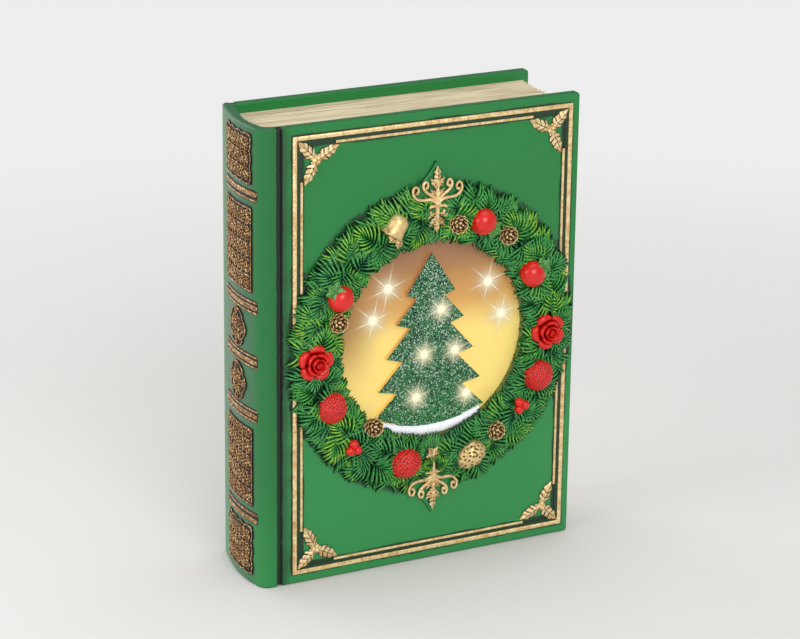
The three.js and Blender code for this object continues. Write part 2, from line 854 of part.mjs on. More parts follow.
// The ring's section from its inner edge to its outer edge, in shares of its width and swell.
const ringSectionShares = [[-0.92, 0], [-0.88, 0.6], [-0.4, 1], [0.4, 1], [0.86, 0.5], [0.92, 0]];

function wreathRing() {
  const middle = (wreathRadius + wreathOpening) / 2;
  const half = (wreathRadius - wreathOpening) / 2;
  const path = [...ringSectionShares, ringSectionShares[0]].map(([across, height]) =>
    new THREE.Vector2(middle + across * half, height * wreathSwell));
  const ring = new THREE.LatheGeometry(path, roundSteps / 2);
  ring.applyMatrix4(new THREE.Matrix4().set(1, 0, 0, 0, 0, -1, 0, 0, 0, 0, -1, panelCentre, 0, 0, 0, 1));
  return outwardFacing(ring);
}

// The pad's flank from the ring to its point, in shares of its half width and of its rise.
const flankShares = [[1, 0], [0.62, 0.42], [0.28, 0.66], [0, 1]];

// A pad with a pointed end and hollow flanks that carries a fleuron.
const finialReach = fleuronReach + finialMargin;

function finialPad(facing) {
  const foot = Math.sqrt((wreathRadius - boardThickness / 2) ** 2 - finialHalfWidth ** 2);
  const flank = flankShares.map(([across, up]) =>
    [across * finialHalfWidth, foot + up * (finialReach - foot)]);
  const root = (wreathRadius + wreathOpening) / 2;
  const outline = [...flank, ...mirrored(flank).slice(1), [-finialHalfWidth, root], [finialHalfWidth, root]];
  return frontPlate(polygon(outline.map(([x, z]) => [facing * x, panelCentre + facing * z])), 0, padHeight);
}

// Rows of sprigs: [root's share of the radius, lean from outward, height, tilt, turn share].
const sprigRows = [
  [0.85, -140, 2.8, -4, 0],
  [0.82, -36, 2.8, -3, 0.6],
  [0.82, -84, 3.4, -1, 0.3],
];

// Every sprig leans the same way round the ring, a little more or less than its neighbours.
function sprigPlaces() {
  return sprigRows.flatMap(([share, lean, lift, tilt, turn], row) => {
    const places = [];
    for (let i = 0; i < sprigCount; i += 1) {
      const wave = Math.sin(i * 2.4 + row * 1.7);
      const angle = (i + turn) * 360 / sprigCount + wave * 2;
      places.push({ angle, share: share + 0.01 * wave, heading: angle + lean + wave * 14, lift, tilt });
    }
    return places;
  });
}

// The bay that holds a fleuron widens this share of its half width beyond the fleuron's root.
const bayShoulderShare = 0.93;

const fleuronRoot = fleuronReach - fleuronLength;
const scrollWidth = scrollWidthShare * fleuronHalfWidth;

function firWreath() {
  const sprig = ribbedLeaf(sprigLength, sprigHalfWidth, sprigThickness, sprigStationShares);
  const sprigs = sprigPlaces().map(({ angle, share, heading, lift, tilt }) => {
    const [x, z] = onWreath(angle, share);
    return laidLeaf(sprig, x, z, -lift, heading, tilt);
  });
  const ring = joined([wreathRing(), finialPad(1), finialPad(-1), ...sprigs]);
  const reach = 2 * wreathRadius;
  const front = block(
    [-reach, -4 * wreathSwell, panelCentre - reach],
    [reach, 0, panelCentre + reach],
  );
  const bayWidth = fleuronHalfWidth + 2 * scrollWidth;
  const bayFlank = [
    [fleuronHalfWidth / 2, wreathOpening - cutOverrun],
    [fleuronHalfWidth / 2, fleuronRoot + fleuronHalfWidth / 2],
    [bayWidth, fleuronRoot + bayWidth * bayShoulderShare],
    [bayWidth, finialReach + cutOverrun],
  ];
  const bays = [1, -1].map((facing) => frontPlate(
    polygon([...bayFlank, ...mirrored(bayFlank)].map(([x, z]) => [facing * x, panelCentre + facing * z])),
    -padHeight,
    4 * wreathSwell,
  ));
  return largestBody(geometryOf(cutBy(ring.intersect(solidOf(front)), [...bays, ...wells])));
}

addPiece('fir_wreath', firWreath(), finish(0x1f6b34, 0.55));

// Fleurons: a lobed leaf, two pairs of scrolls and a spray of leaves on one stem

const lobedStationShares = [
  [0, 0, 0.3, 0.8],
  [0.16, 0.3, 0.95, 0.9],
  [0.34, 0.34, 0.45, 1],
  [0.42, 0.6, 0.8, 0.95],
  [0.62, 0.62, 0.38, 0.85],
  [0.7, 0.8, 0.5, 0.7],
  [1, 1, 0.05, 0.4],
];

// Scroll centre lines as shares of the fleuron's half width and of its length from the root.
const scrollShares = [
  [[0, 0.44], [0.26, 0.53], [0.62, 0.52], [0.92, 0.57], [0.99, 0.66], [0.88, 0.71], [0.78, 0.65]],
  [[0, 0.44], [0.18, 0.55], [0.42, 0.59], [0.6, 0.65], [0.57, 0.73], [0.44, 0.73], [0.4, 0.66]],
  [[0, 0.38], [0.2, 0.38], [0.42, 0.34], [0.45, 0.26], [0.3, 0.22]],
];

// The stem's ends, the roots of the leaves on it and their lengths, as shares of its length.
const stemShares = [0.12, 0.74];
const leafRootShares = [0.6, 0.34, 0.24, 0.24];
const leafLengthShares = [0.4, 0.34, 0.22, 0.22];
const leafHeadings = [90, -90, -50, -130];
const leafWidthShare = 0.7;
const starRootShare = 0.02;
const starLengthShare = 0.16;
const starHeadings = [90, 162, 234, 306, 18];

function fleuron(facing, withStar) {
  const length = fleuronLength;
  const rise = -padHeight;
  const bead = [[-scrollWidth, 0], [0, scrollHeight], [scrollWidth, 0]];
  const scrolls = [1, -1].flatMap((side) => scrollShares.map((lineShares) => {
    const line = lineShares.map(([across, along]) =>
      new THREE.Vector2(side * across * fleuronHalfWidth, fleuronRoot + along * length));
    const path = new THREE.SplineCurve(line).getPoints(2 * line.length - 2);
    return sweptRelief(path.map((point) => point.toArray()), bead, rise);
  }));
  const leafAt = (along, heading, size) => laidLeaf(
    ribbedLeaf(length * size, fleuronHalfWidth * size * leafWidthShare, fleuronThickness, lobedStationShares),
    0,
    fleuronRoot + along * length,
    rise,
    heading,
  );
  const leaves = leafHeadings.map((heading, i) => leafAt(leafRootShares[i], heading, leafLengthShares[i]));
  const star = starHeadings.map((heading) => leafAt(starRootShare, heading, starLengthShare));
  const stem = sweptRelief(stemShares.map((share) => [0, fleuronRoot + length * share]), bead, rise);
  const shape = geometryOf(joined([stem, ...leaves, ...scrolls, ...(withStar ? star : [])]));
  if (facing < 0) {
    shape.applyMatrix4(new THREE.Matrix4().makeScale(-1, 1, -1));
  }
  return shape.translate(0, 0, panelCentre);
}

addPiece('fleuron_top', fleuron(1, false), gilt.clone());
addPiece('fleuron_bottom', fleuron(-1, true), gilt.clone());

// Backdrop, tree and snow, seen through the window

const backdropFace = boardThickness;
const backdropRear = boardThickness + backdropThickness;
const treeTop = panelCentre + treeHeight - treeFootDepth;

// Lamp places: in the sky as shares of the window radius across and up from its centre, on
// the tree as shares of its half width across and of its height down from its top.
const skyLampShares = [[-0.434, 0.532], [-0.59, 0.24], [0.64, 0.462], [0.791, 0.119]];
const treeLampShares = [
  [0.186, 0.344], [-0.114, 0.598], [0.455, 0.599], [-0.249, 0.85], [0.676, 0.871],
];
const skyLamps = skyLampShares.map(([across, up]) =>
  [across * windowRadius, panelCentre + up * windowRadius]);
const treeLamps = treeLampShares.map(([across, down]) =>
  [across * treeHalfWidth, treeTop - down * treeHeight]);

function lampHoles(places, yLow, yHigh) {
  const radius = (lampRadius + fitGap / 2) / Math.cos(Math.PI / pinRoundSteps);
  return places.map(([x, z]) => discAt(x, z, radius, yLow, yHigh, pinRoundSteps));
}

function windowDisc(radius, yLow, yHigh) {
  return discAt(0, panelCentre, radius, yLow, yHigh, roundSteps);
}

function backdropDisc() {
  const disc = windowDisc(windowRadius + backdropLip, backdropFace, backdropRear);
  const places = [...skyLamps, ...treeLamps];
  const holes = lampHoles(places, backdropFace - cutOverrun, backdropRear + cutOverrun);
  return geometryOf(cutBy(solidOf(disc), holes));
}

addPiece('backdrop', backdropDisc(), finish(0xe8b860, 0.5));

// Half widths at the tips and notches of the tiers, from the top down, with their depths.
const treeTierShares = [
  [0, 0], [0.44, 0.235], [0.25, 0.262], [0.61, 0.402], [0.36, 0.43], [0.79, 0.596], [0.5, 0.625],
  [0.93, 0.785], [0.6, 0.81], [1, 0.95], [0.9, 1],
];

// An arc about a centre above, between ends that lie halfWidth to the left and right of it.
function lowerArc(centreZ, radius, halfWidth) {
  const reach = Math.asin(halfWidth / radius) / degree;
  return arcPoints([0, centreZ], radius, downwards - reach, downwards + reach, 2 * cornerSteps);
}

function snowTop(gap) {
  return lowerArc(panelCentre + snowCentreRise, snowTopRadius - gap, snowEndHalfWidth);
}

function treePlate() {
  const right = treeTierShares.map(([width, depth]) => [width * treeHalfWidth, treeTop - depth * treeHeight]);
  const outline = polygon([...mirrored(right), ...right.slice(1)]);
  const solid = solidOf(frontPlate(outline, backdropFace, treeThickness));
  const ground = snowTop(fitGap);
  const bottom = Math.min(treeTop - treeHeight, ground[0][1]) - windowRadius;
  const below = polygon([
    ...ground,
    [2 * treeHalfWidth, ground[ground.length - 1][1]],
    [2 * treeHalfWidth, bottom],
    [-2 * treeHalfWidth, bottom],
    [-2 * treeHalfWidth, ground[0][1]],
  ]);
  const trim = frontPlate(below, backdropFace + cutOverrun, treeThickness + 2 * cutOverrun);
  const holes = lampHoles(treeLamps, -cutOverrun, backdropFace + cutOverrun);
  const framed = solid.intersect(solidOf(windowDisc(windowRadius - fitGap, -cutOverrun, backdropFace)));
  return geometryOf(cutBy(framed, [trim, ...holes]));
}

addPiece('fir_tree', treePlate(), finish(0x1e5a3a, 0.6));

function snowBank() {
  const bottom = lowerArc(panelCentre, windowRadius - fitGap, snowEndHalfWidth).reverse();
  return frontPlate(polygon([...snowTop(0), ...bottom]), backdropFace, snowThickness);
}

addPiece('snow_bank', snowBank(), finish(0xf2f2f2, 0.7));

// Lamps: a round-nosed cylinder with a flange that seats on the back of the backdrop

function lamp([x, z], passes) {
  const flange = lampRadius + lampFlange;
  const rear = -lampFlangeHeight;
  const nose = passes + lampReach;
  const profile = [
    [0, rear], [flange, rear], [flange, 0], [lampRadius, 0], [lampRadius, nose - lampRadius / 2], [0, nose],
  ].map(([radius, along]) => new THREE.Vector2(radius, along));
  const body = new THREE.LatheGeometry(profile, pinRoundSteps);
  body.applyMatrix4(new THREE.Matrix4().set(1, 0, 0, x, 0, -1, 0, backdropRear, 0, 0, -1, z, 0, 0, 0, 1));
  return outwardFacing(body);
}

skyLamps.forEach((place, i) => {
  addPiece(`lamp_sky_${i + 1}`, lamp(place, backdropThickness), finish(0xfff2cc, 0.2));
});

treeLamps.forEach((place, i) => {
  addPiece(`lamp_tree_${i + 1}`, lamp(place, backdropThickness + treeThickness), finish(0xfff2cc, 0.2));
});

// Spine relief: raised bands, ornamental panels and lozenges that follow the crown

// A strip on the spine between two depths, from height low to height high.
function spineStrip(yFrom, yTo, low, high, relief) {
  const crown = spinePlan(-seatGap).map((point) => point.toArray());
  const raised = spinePlan(-seatGap - relief).map((point) => point.toArray());
  const left = -2 * panelToSpine;
  const plan = solidOf(upright(polygon([...raised, ...crown.reverse()]), low, high));
  return plan.intersect(solidOf(block([left, yFrom, low], [0, yTo, high])));
}

const spineRelief = seatGap + bandRelief;

// A band's steps from its lower edge up: [from, to, relief] in shares of its height and relief.
// The outer bands have a wide bead beside a narrow one, the others a wide bead between two.
const wideBeadOnTop = [[0, 0.3, 0.7], [0.26, 0.48, 0.35], [0.44, 1, 1]];
const wideBeadBelow = wideBeadOnTop.map(([from, to, relief]) => [1 - to, 1 - from, relief]);
const wideBeadBetween = [[0, 0.2, 0.7], [0.15, 0.3, 0.35], [0.26, 0.74, 1], [0.7, 0.85, 0.35], [0.8, 1, 0.7]];

function spineBand(rise, height, stepShares) {
  const low = panelCentre + rise - height / 2;
  const parts = stepShares.map(([from, to, relief]) =>
    spineStrip(bandFront, bandBack, low + from * height, low + to * height, relief * bandRelief));
  return geometryOf(parts.reduce((whole, part) => whole.add(part)));
}

const bands = [
  [headBandRise, outerBandHeight, wideBeadOnTop],
  [bandSpacing, innerBandHeight, wideBeadBetween],
  [0, innerBandHeight, wideBeadBetween],
  [-bandSpacing, innerBandHeight, wideBeadBetween],
  [footBandRise, outerBandHeight, wideBeadBelow],
];

bands.forEach(([rise, height, stepShares], i) => {
  addPiece(`spine_band_${i + 1}`, spineBand(rise, height, stepShares), finish(0x966e4b, 0.45, 0.6));
});

// Cuts a strip of the spine to an outline drawn in depth y and height z.
function spineOrnament(outline, low, high) {
  const strip = spineStrip(panelFront, panelBack, low, high, panelRelief);
  const stamp = new THREE.ExtrudeGeometry(polygon(outline), { depth: panelToSpine, bevelEnabled: false });
  const left = 2 * cutOverrun - 2 * panelToSpine;
  stamp.applyMatrix4(new THREE.Matrix4().set(0, 0, 1, left, 1, 0, 0, 0, 0, 1, 0, 0, 0, 0, 0, 1));
  return geometryOf(strip.intersect(solidOf(stamp)));
}

// An outline with small scallops along all four sides.
function scalloped(yFrom, yTo, low, high, lobesAcross, lobesUp, depth) {
  const points = [];
  const side = (from, to, lobes) => {
    for (let i = 0; i < lobes; i += 1) {
      [0, 1 / 3, 2 / 3].forEach((share) => {
        const t = (i + share) / lobes;
        const inset = depth * (1 - Math.sin(Math.PI * share));
        const dx = to[0] - from[0];
        const dz = to[1] - from[1];
        const size = Math.hypot(dx, dz);
        points.push([from[0] + dx * t - dz / size * inset, from[1] + dz * t + dx / size * inset]);
      });
    }
  };
  side([yFrom, low], [yTo, low], lobesAcross);
  side([yTo, low], [yTo, high], lobesUp);
  side([yTo, high], [yFrom, high], lobesAcross);
  side([yFrom, high], [yFrom, low], lobesUp);
  return points;
}

// From a band's middle to the edge of the panel beside it.
const endOffset = outerBandHeight / 2 + endPanelGap;
const outerOffset = outerBandHeight / 2 + outerPanelGap;
const innerOffset = innerBandHeight / 2 + innerPanelGap;
const panelPlaces = [
  [headBandRise + endOffset, headBandRise + endOffset + headPanelHeight],
  [bandSpacing + innerOffset, headBandRise - outerOffset],
  [footBandRise + outerOffset, -bandSpacing - innerOffset],
  [footBandRise - endOffset - footPanelHeight, footBandRise - endOffset],
];

panelPlaces.forEach(([from, to], i) => {
  const low = panelCentre + from;
  const high = panelCentre + to;
  const lobesUp = Math.round((to - from) / (panelBack - panelFront) * scallopsAcross);
  const outline = scalloped(panelFront, panelBack, low, high, scallopsAcross, lobesUp, panelRelief);
  addPiece(`spine_panel_${i + 1}`, spineOrnament(outline, low, high), finish(0x96744a, 0.45, 0.6));
});

function lozenge(rise) {
  const half = lozengeHeight / 2;
  const rightShares = [
    [0.1, -1], [0.2, -0.86], [0.12, -0.74], [0.55, -0.55], [0.62, -0.38], [0.9, -0.2], [1, 0],
    [0.9, 0.2], [0.62, 0.38], [0.55, 0.55], [0.12, 0.74], [0.2, 0.86], [0.1, 1],
  ];
  const right = rightShares.map(([across, up]) => [across * lozengeHalfWidth, up * half]);
  const middle = (panelFront + panelBack) / 2;
  const outline = [...right, ...mirrored(right)].map(([y, z]) => [middle + y, panelCentre + rise + z]);
  return spineOrnament(outline, panelCentre + rise - half, panelCentre + rise + half);
}

addPiece('spine_lozenge_upper', lozenge(bandSpacing / 2), finish(0x96744a, 0.45, 0.6));
addPiece('spine_lozenge_lower', lozenge(-bandSpacing / 2), finish(0x96744a, 0.45, 0.6));

// Battery box: a tray for two cells with a hinged door and a switch bay beside it

const bayLeft = boxLeft + boxWall;
const bayRight = bayLeft + bayLength;
const bayLow = boxCentreRise - bayHeight / 2;
const bayHigh = boxCentreRise + bayHeight / 2;
const doorFace = bookThickness - doorSink;
const doorInner = doorFace - doorThickness;
const hingeY = doorFace - doorThickness / 2;
const hingeZ = bayHigh - fitGap - doorThickness / 2;
const cellFloor = boxFront + boxWall;
const switchLeft = bayRight + boxWall;
const switchRight = boxRight - boxWall;
const faceplateOuter = bookThickness - switchSink;
const faceplateInner = faceplateOuter - switchFace;
const knobRest = (switchLeft + switchRight) / 2 - switchTravel / 2;

function batteryBox() {
  const low = boxCentreRise - boxHalfHeight;
  const high = boxCentreRise + boxHalfHeight;
  const body = block([boxLeft, boxFront, low], [boxRight, bookThickness, high]);
  const flangeBack = bookThickness - boardThickness;
  const flange = block(
    [boxLeft - boxFlange, flangeBack - boxWall, low - boxFlange],
    [boxRight + boxFlange, flangeBack, high + boxFlange],
  );
  const ledge = doorLedge;
  const cellsLow = bayLow + ledge / 2;
  const cellsHigh = bayHigh - ledge / 2;
  const mouth = block([bayLeft, doorInner - fitGap, bayLow], [bayRight, bookThickness + cutOverrun, bayHigh]);
  const cells = block([bayLeft + ledge, cellFloor, cellsLow], [bayRight - ledge, bookThickness, cellsHigh]);
  const endRooms = block([bayLeft, cellFloor, cellsLow], [bayRight, doorInner - ledge, cellsHigh]);
  const pinHole = rodAt(
    hingeY,
    hingeZ,
    hingePinRadius + fitGap,
    bayLeft - hingePinLength,
    bayRight + hingePinLength,
  );
  const sunkFace = block(
    [switchLeft, faceplateOuter, low + boxWall],
    [switchRight, bookThickness + cutOverrun, high - boxWall],
  );
  const switchRoom = block(
    [switchLeft, boxFront - cutOverrun, low + boxWall],
    [switchRight, faceplateInner, high - boxWall],
  );
  const knobRoom = knobLength / 2 + fitGap;
  const slot = block(
    [knobRest - knobRoom, boxFront, boxCentreRise - knobWidth / 2 - fitGap],
    [knobRest + switchTravel + knobRoom, bookThickness, boxCentreRise + knobWidth / 2 + fitGap],
  );
  const contactSlot = block(
    [bayRight - boxWall, cellFloor + boxWall, boxCentreRise + cellClearance * 2],
    [switchLeft + boxWall, doorInner - ledge, bayHigh - ledge],
  );
  const solid = solidOf(body).add(solidOf(flange));
  return geometryOf(cutBy(solid, [
    mouth, cells, endRooms, pinHole, sunkFace, switchRoom, slot, contactSlot,
  ]));
}

addPiece('battery_box', batteryBox(), finish(0x1c1c1c, 0.5));

// Battery door: a plate with a rounded hinge edge, two pins, a thumb notch and grip grooves

function batteryDoor() {
  const left = bayLeft + fitGap;
  const right = bayRight - fitGap;
  const low = bayLow + fitGap;
  const plate = block([left, doorInner, low], [right, doorFace, hingeZ]);
  const barrel = rodAt(hingeY, hingeZ, doorThickness / 2, left, right);
  const pinReach = hingePinLength - fitGap;
  const pin = rodAt(hingeY, hingeZ, hingePinRadius, bayLeft - pinReach, bayRight + pinReach);
  const middle = (left + right) / 2;
  const notch = discAt(middle, low, thumbNotchRadius, doorInner - cutOverrun, doorFace + cutOverrun);
  const grooves = Array.from({ length: gripGrooveCount }, (_, i) => {
    const z = low + thumbNotchRadius + (i + 1) * doorThickness;
    return block(
      [middle - gripHalfLength, doorFace - doorRibHeight, z],
      [middle + gripHalfLength, doorFace + cutOverrun, z + doorThickness / 2],
    );
  });
  const solid = solidOf(plate).add(solidOf(barrel)).add(solidOf(pin));
  return geometryOf(cutBy(solid, [notch, ...grooves]));
}

addPiece('battery_door', batteryDoor(), finish(0x222222, 0.5));

// Battery cells: a can with a raised nub at its positive end

const cellY = cellFloor + cellClearance / 2 + cellRadius;
const cellRises = [
  bayHigh - doorLedge / 2 - cellClearance - cellRadius,
  bayLow + doorLedge / 2 + cellClearance + cellRadius,
];
const cellLeft = bayLeft + contactRoom / 2;

function cell(z, nubLeft) {
  const left = cellLeft;
  const right = left + cellLength + cellNub;
  const can = nubLeft
    ? rodAt(cellY, z, cellRadius, left + cellNub, right, 2 * smallRoundSteps)
    : rodAt(cellY, z, cellRadius, left, right - cellNub, 2 * smallRoundSteps);
  const nub = nubLeft
    ? rodAt(cellY, z, cellNubRadius, left, left + 2 * cellNub)
    : rodAt(cellY, z, cellNubRadius, right - 2 * cellNub, right);
  return geometryOf(joined([can, nub]));
}

addPiece('battery_upper', cell(cellRises[0], false), finish(0xb0b4b8, 0.35, 0.7));
addPiece('battery_lower', cell(cellRises[1], true), finish(0xb0b4b8, 0.35, 0.7));

// Contacts: sprung strips at the cells' negative ends, with flat tabs for the nubs

const stripReach = cellRadius * stripReachShare;
const stripDepth = cellRadius * stripDepthShare;

function contactSpring(x, z, towards, length) {
  const steps = springTurns * springStepCount;
  const points = [];
  for (let i = 0; i <= steps; i += 1) {
    const share = i / steps;
    const radius = springRadius * (1 - springTaperShare * share);
    const angle = share * springTurns * 2 * Math.PI;
    points.push(new THREE.Vector3(
      x + towards * share * length,
      cellY + radius * Math.cos(angle),
      z + radius * Math.sin(angle),
    ));
  }
  const wire = new THREE.Shape();
  wire.absarc(0, 0, springWire / 2, 0, 2 * Math.PI);
  return new THREE.ExtrudeGeometry(wire, {
    steps,
    curveSegments: wireSteps,
    extrudePath: new THREE.CatmullRomCurve3(points),
  });
}

function bridgeContact() {
  const sheetRight = bayLeft + fitGap + contactSheet;
  const low = cellRises[1] - stripReach;
  const high = cellRises[0] + stripReach;
  const strip = block([bayLeft + fitGap, cellY - stripDepth, low], [sheetRight, cellY + stripDepth, high]);
  const tab = block(
    [bayLeft + fitGap, cellY - cellNubRadius, cellRises[1] - cellNubRadius],
    [cellLeft - fitGap, cellY + cellNubRadius, cellRises[1] + cellNubRadius],
  );
  const room = cellLeft - sheetRight - springWire / 2 - fitGap;
  const spring = contactSpring(sheetRight, cellRises[0], 1, room);
  return geometryOf(joined([strip, tab, spring]));
}

function springContact() {
  const sheetLeft = bayRight - fitGap - contactSheet;
  const strip = block(
    [sheetLeft, cellY - stripDepth, cellRises[1] - stripReach],
    [bayRight - fitGap, cellY + stripDepth, cellRises[1] + stripReach],
  );
  const cellEnd = cellLeft + cellLength + cellNub;
  const room = sheetLeft - cellEnd - springWire / 2 - fitGap;
  const spring = contactSpring(sheetLeft, cellRises[1], -1, room);
  return geometryOf(joined([strip, spring]));
}

addPiece('bridge_contact', bridgeContact(), finish(0xc8ccd0, 0.3, 0.9));
addPiece('spring_contact', springContact(), finish(0xc8ccd0, 0.3, 0.9));

// Switch: a slider in the faceplate over a board that carries the switch body

const sliderFootOuter = faceplateInner - fitGap;
const sliderFootInner = sliderFootOuter - sliderFoot;
const switchBodyBack = sliderFootInner - fitGap;

const footHalfLength = knobLength / 2 + sliderFootMargin;
const footHalfWidth = knobWidth / 2 + sliderFootMargin;

function switchSlider() {
  const knob = block(
    [knobRest - knobLength / 2, sliderFootInner, boxCentreRise - knobWidth / 2],
    [knobRest + knobLength / 2, bookThickness - fitGap, boxCentreRise + knobWidth / 2],
  );
  const foot = block(
    [knobRest - footHalfLength, sliderFootInner, boxCentreRise - footHalfWidth],
    [knobRest + footHalfLength, sliderFootOuter, boxCentreRise + footHalfWidth],
  );
  const tip = bookThickness - fitGap;
  const grip = [-1, 0, 1].map((i) => knobRest + i * knobLength / 3).map((middle) => block(
    [middle - gripGrooveWidth / 2, tip - doorRibHeight, boxCentreRise - knobWidth],
    [middle + gripGrooveWidth / 2, bookThickness, boxCentreRise + knobWidth],
  ));
  return geometryOf(cutBy(joined([knob, foot]), grip));
}

function switchBoard() {
  const low = boxCentreRise - boxHalfHeight + boxWall + fitGap;
  const high = boxCentreRise + boxHalfHeight - boxWall - fitGap;
  const sheetBack = switchBodyBack - switchBodyDepth;
  const left = switchLeft + fitGap;
  const sheet = block([left, sheetBack - boardSheet, low], [switchRight - fitGap, sheetBack, high]);
  const body = block(
    [switchLeft + boxWall, sheetBack, boxCentreRise - knobWidth - sliderFootMargin],
    [switchRight - boxWall, switchBodyBack, boxCentreRise + knobWidth + sliderFootMargin],
  );
  const cellEnd = cellLeft + cellLength + cellNub;
  const nubHeight = cellRises[0];
  const blade = block(
    [cellEnd + fitGap, cellY - cellNubRadius / 2, nubHeight - cellNubRadius],
    [switchLeft + boxWall, cellY + cellNubRadius / 2, nubHeight + cellNubRadius],
  );
  const post = block(
    [left, sheetBack - boardSheet, nubHeight - cellNubRadius],
    [switchLeft + boxWall, cellY + cellNubRadius / 2, nubHeight + cellNubRadius],
  );
  return geometryOf(joined([sheet, body, blade, post]));
}

addPiece('switch_slider', switchSlider(), finish(0xe8e8e8, 0.4));
addPiece('switch_board', switchBoard(), finish(0x2f6b3c, 0.5));

// Lamp lead: one cable that runs behind every lamp and ends at the switch board

// The lamps in the order in which the cable passes them, those in the sky counted first.
const leadOrder = [1, 0, 4, 2, 3, 6, 5, 7, 8];

function lampLead() {
  const y = backdropRear + lampFlangeHeight + seatGap + leadRadius;
  const places = [...skyLamps, ...treeLamps];
  const behind = leadOrder.map((i) => new THREE.Vector3(places[i][0], y, places[i][1]));
  const boardFace = switchBodyBack - switchBodyDepth - boardSheet - seatGap;
  const boardX = (switchLeft + switchRight) / 2;
  const lastLamp = behind[behind.length - 1];
  const points = [
    ...behind,
    new THREE.Vector3((2 * lastLamp.x + boardX) / 3, y, lastLamp.z - leadDrop),
    new THREE.Vector3(boardX, (y + boardFace) / 2, boxCentreRise + boxHalfHeight),
    new THREE.Vector3(boardX, boardFace - leadBendLength, boxCentreRise),
    new THREE.Vector3(boardX, boardFace, boxCentreRise),
  ];
  const section = new THREE.Shape();
  section.absarc(0, 0, leadRadius, 0, 2 * Math.PI);
  return new THREE.ExtrudeGeometry(section, {
    steps: leadSteps,
    curveSegments: wireSteps,
    extrudePath: new THREE.CatmullRomCurve3(points),
  });
}

addPiece('lamp_lead', lampLead(), finish(0xd8d8d0, 0.5));

// The origin is below the middle of the whole object, on the surface that it stands on.
const frontReach = Math.max(
  roseHeight,
  appleRise + appleRadius,
  fruitRise + fruitRadius,
  nutRise + nutRadius * (1 + scaleShare),
  bellRise + bellRadius,
);
const spineReach = panelToSpine + spineCrown + spineRelief;
book.position.set((spineReach - panelToForeEdge) / 2, (frontReach - bookThickness) / 2, 0);
book.updateMatrixWorld(true);

export default book;
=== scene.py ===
# A lit resin book that stands upright: a green cover round a cream page block, a fir wreath in
# relief round a lit window, gilt borders and corners, and antique gold work on the spine.
# Sizes are millimetres in the book's own frame: x and z from the front's left-right middle and
# from the ground, y from the front board's face to the back. build_piece turns them to metres.

import math

import bmesh
import bpy
import numpy as np
from mathutils import Matrix, Vector


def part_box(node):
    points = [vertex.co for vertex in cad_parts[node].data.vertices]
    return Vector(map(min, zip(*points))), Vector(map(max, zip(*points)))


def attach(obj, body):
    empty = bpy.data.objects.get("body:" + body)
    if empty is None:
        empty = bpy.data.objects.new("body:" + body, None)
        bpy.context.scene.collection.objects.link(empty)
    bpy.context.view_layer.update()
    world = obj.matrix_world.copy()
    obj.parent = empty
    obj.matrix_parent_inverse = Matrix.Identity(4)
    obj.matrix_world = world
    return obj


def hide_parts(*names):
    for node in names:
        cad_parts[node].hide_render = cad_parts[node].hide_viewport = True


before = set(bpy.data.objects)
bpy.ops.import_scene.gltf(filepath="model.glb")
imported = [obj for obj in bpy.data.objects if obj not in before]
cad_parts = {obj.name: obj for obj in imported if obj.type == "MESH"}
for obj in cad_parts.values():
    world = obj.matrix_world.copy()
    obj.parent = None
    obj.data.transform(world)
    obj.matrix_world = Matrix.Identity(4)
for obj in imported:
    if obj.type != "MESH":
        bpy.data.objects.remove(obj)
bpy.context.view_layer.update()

# View and studio
# The camera stands where the photograph was taken from. The floor is pale card that is lit up
# further out, and broad soft lamps in front, beside, behind and overhead light the book evenly.

cover_low, cover_high = (np.array(corner) * 1000 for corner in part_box("cover_casing"))
fore_edge_x = 89.5
book_corner = np.array([cover_high[0] - fore_edge_x, cover_low[1], cover_low[2]])
cover_height = 260.0
middle_z = cover_height / 2

focal_pixels = 3002.5
picture_width = 800
camera_yaw, camera_pitch, camera_roll = 0.486256, 0.325534, 0.012310
camera_offset = np.array([17.891, -10.483, 1647.858])


def camera_matrix():
    """Right, up and backward directions from yaw, then pitch, then roll about the view, with
    the place that sees the wreath's centre at the camera's offset."""
    cos_yaw, sin_yaw = math.cos(camera_yaw), math.sin(camera_yaw)
    cos_pitch, sin_pitch = math.cos(camera_pitch), math.sin(camera_pitch)
    forward = np.array([sin_yaw * cos_pitch, cos_yaw * cos_pitch, -sin_pitch])
    right = np.array([cos_yaw, -sin_yaw, 0.0])
    up = np.cross(right, forward)
    centre = book_corner + (0, 0, middle_z) - camera_offset @ np.stack([right, up, forward])
    cos_roll, sin_roll = math.cos(camera_roll), math.sin(camera_roll)
    turned = np.stack([cos_roll * right + sin_roll * up, cos_roll * up - sin_roll * right, -forward], 1)
    matrix = np.eye(4)
    matrix[:3, :3] = turned
    matrix[:3, 3] = centre / 1000
    return Matrix(matrix.tolist())


camera = bpy.data.objects.new("camera", bpy.data.cameras.new("camera"))
camera.data.sensor_width = 36
camera.data.lens = focal_pixels / picture_width * camera.data.sensor_width
camera.data.clip_end = 20
camera.matrix_world = camera_matrix()
bpy.context.collection.objects.link(camera)
scene = bpy.context.scene
scene.camera = camera
scene.view_settings.view_transform = "Standard"


def soft_lamp(name, place, size, power):
    """A square lamp at a place in metres that faces the middle of the book."""
    lamp = bpy.data.objects.new(name, bpy.data.lights.new(name, "AREA"))
    lamp.data.size = size
    lamp.data.energy = power
    lamp.location = place
    lamp.rotation_euler = (Vector((0, 0, 0.12)) - Vector(place)).to_track_quat("-Z", "Y").to_euler()
    bpy.context.collection.objects.link(lamp)


soft_lamp("front_lamp", (-0.3, -1.5, 1.1), 0.9, 14)
soft_lamp("spine_lamp", (-1.5, -0.1, 0.7), 0.8, 7)
soft_lamp("overhead_lamp", (0.2, 0.2, 1.9), 1.2, 9)
soft_lamp("back_lamp", (-0.8, 1.6, 0.9), 1.0, 8)


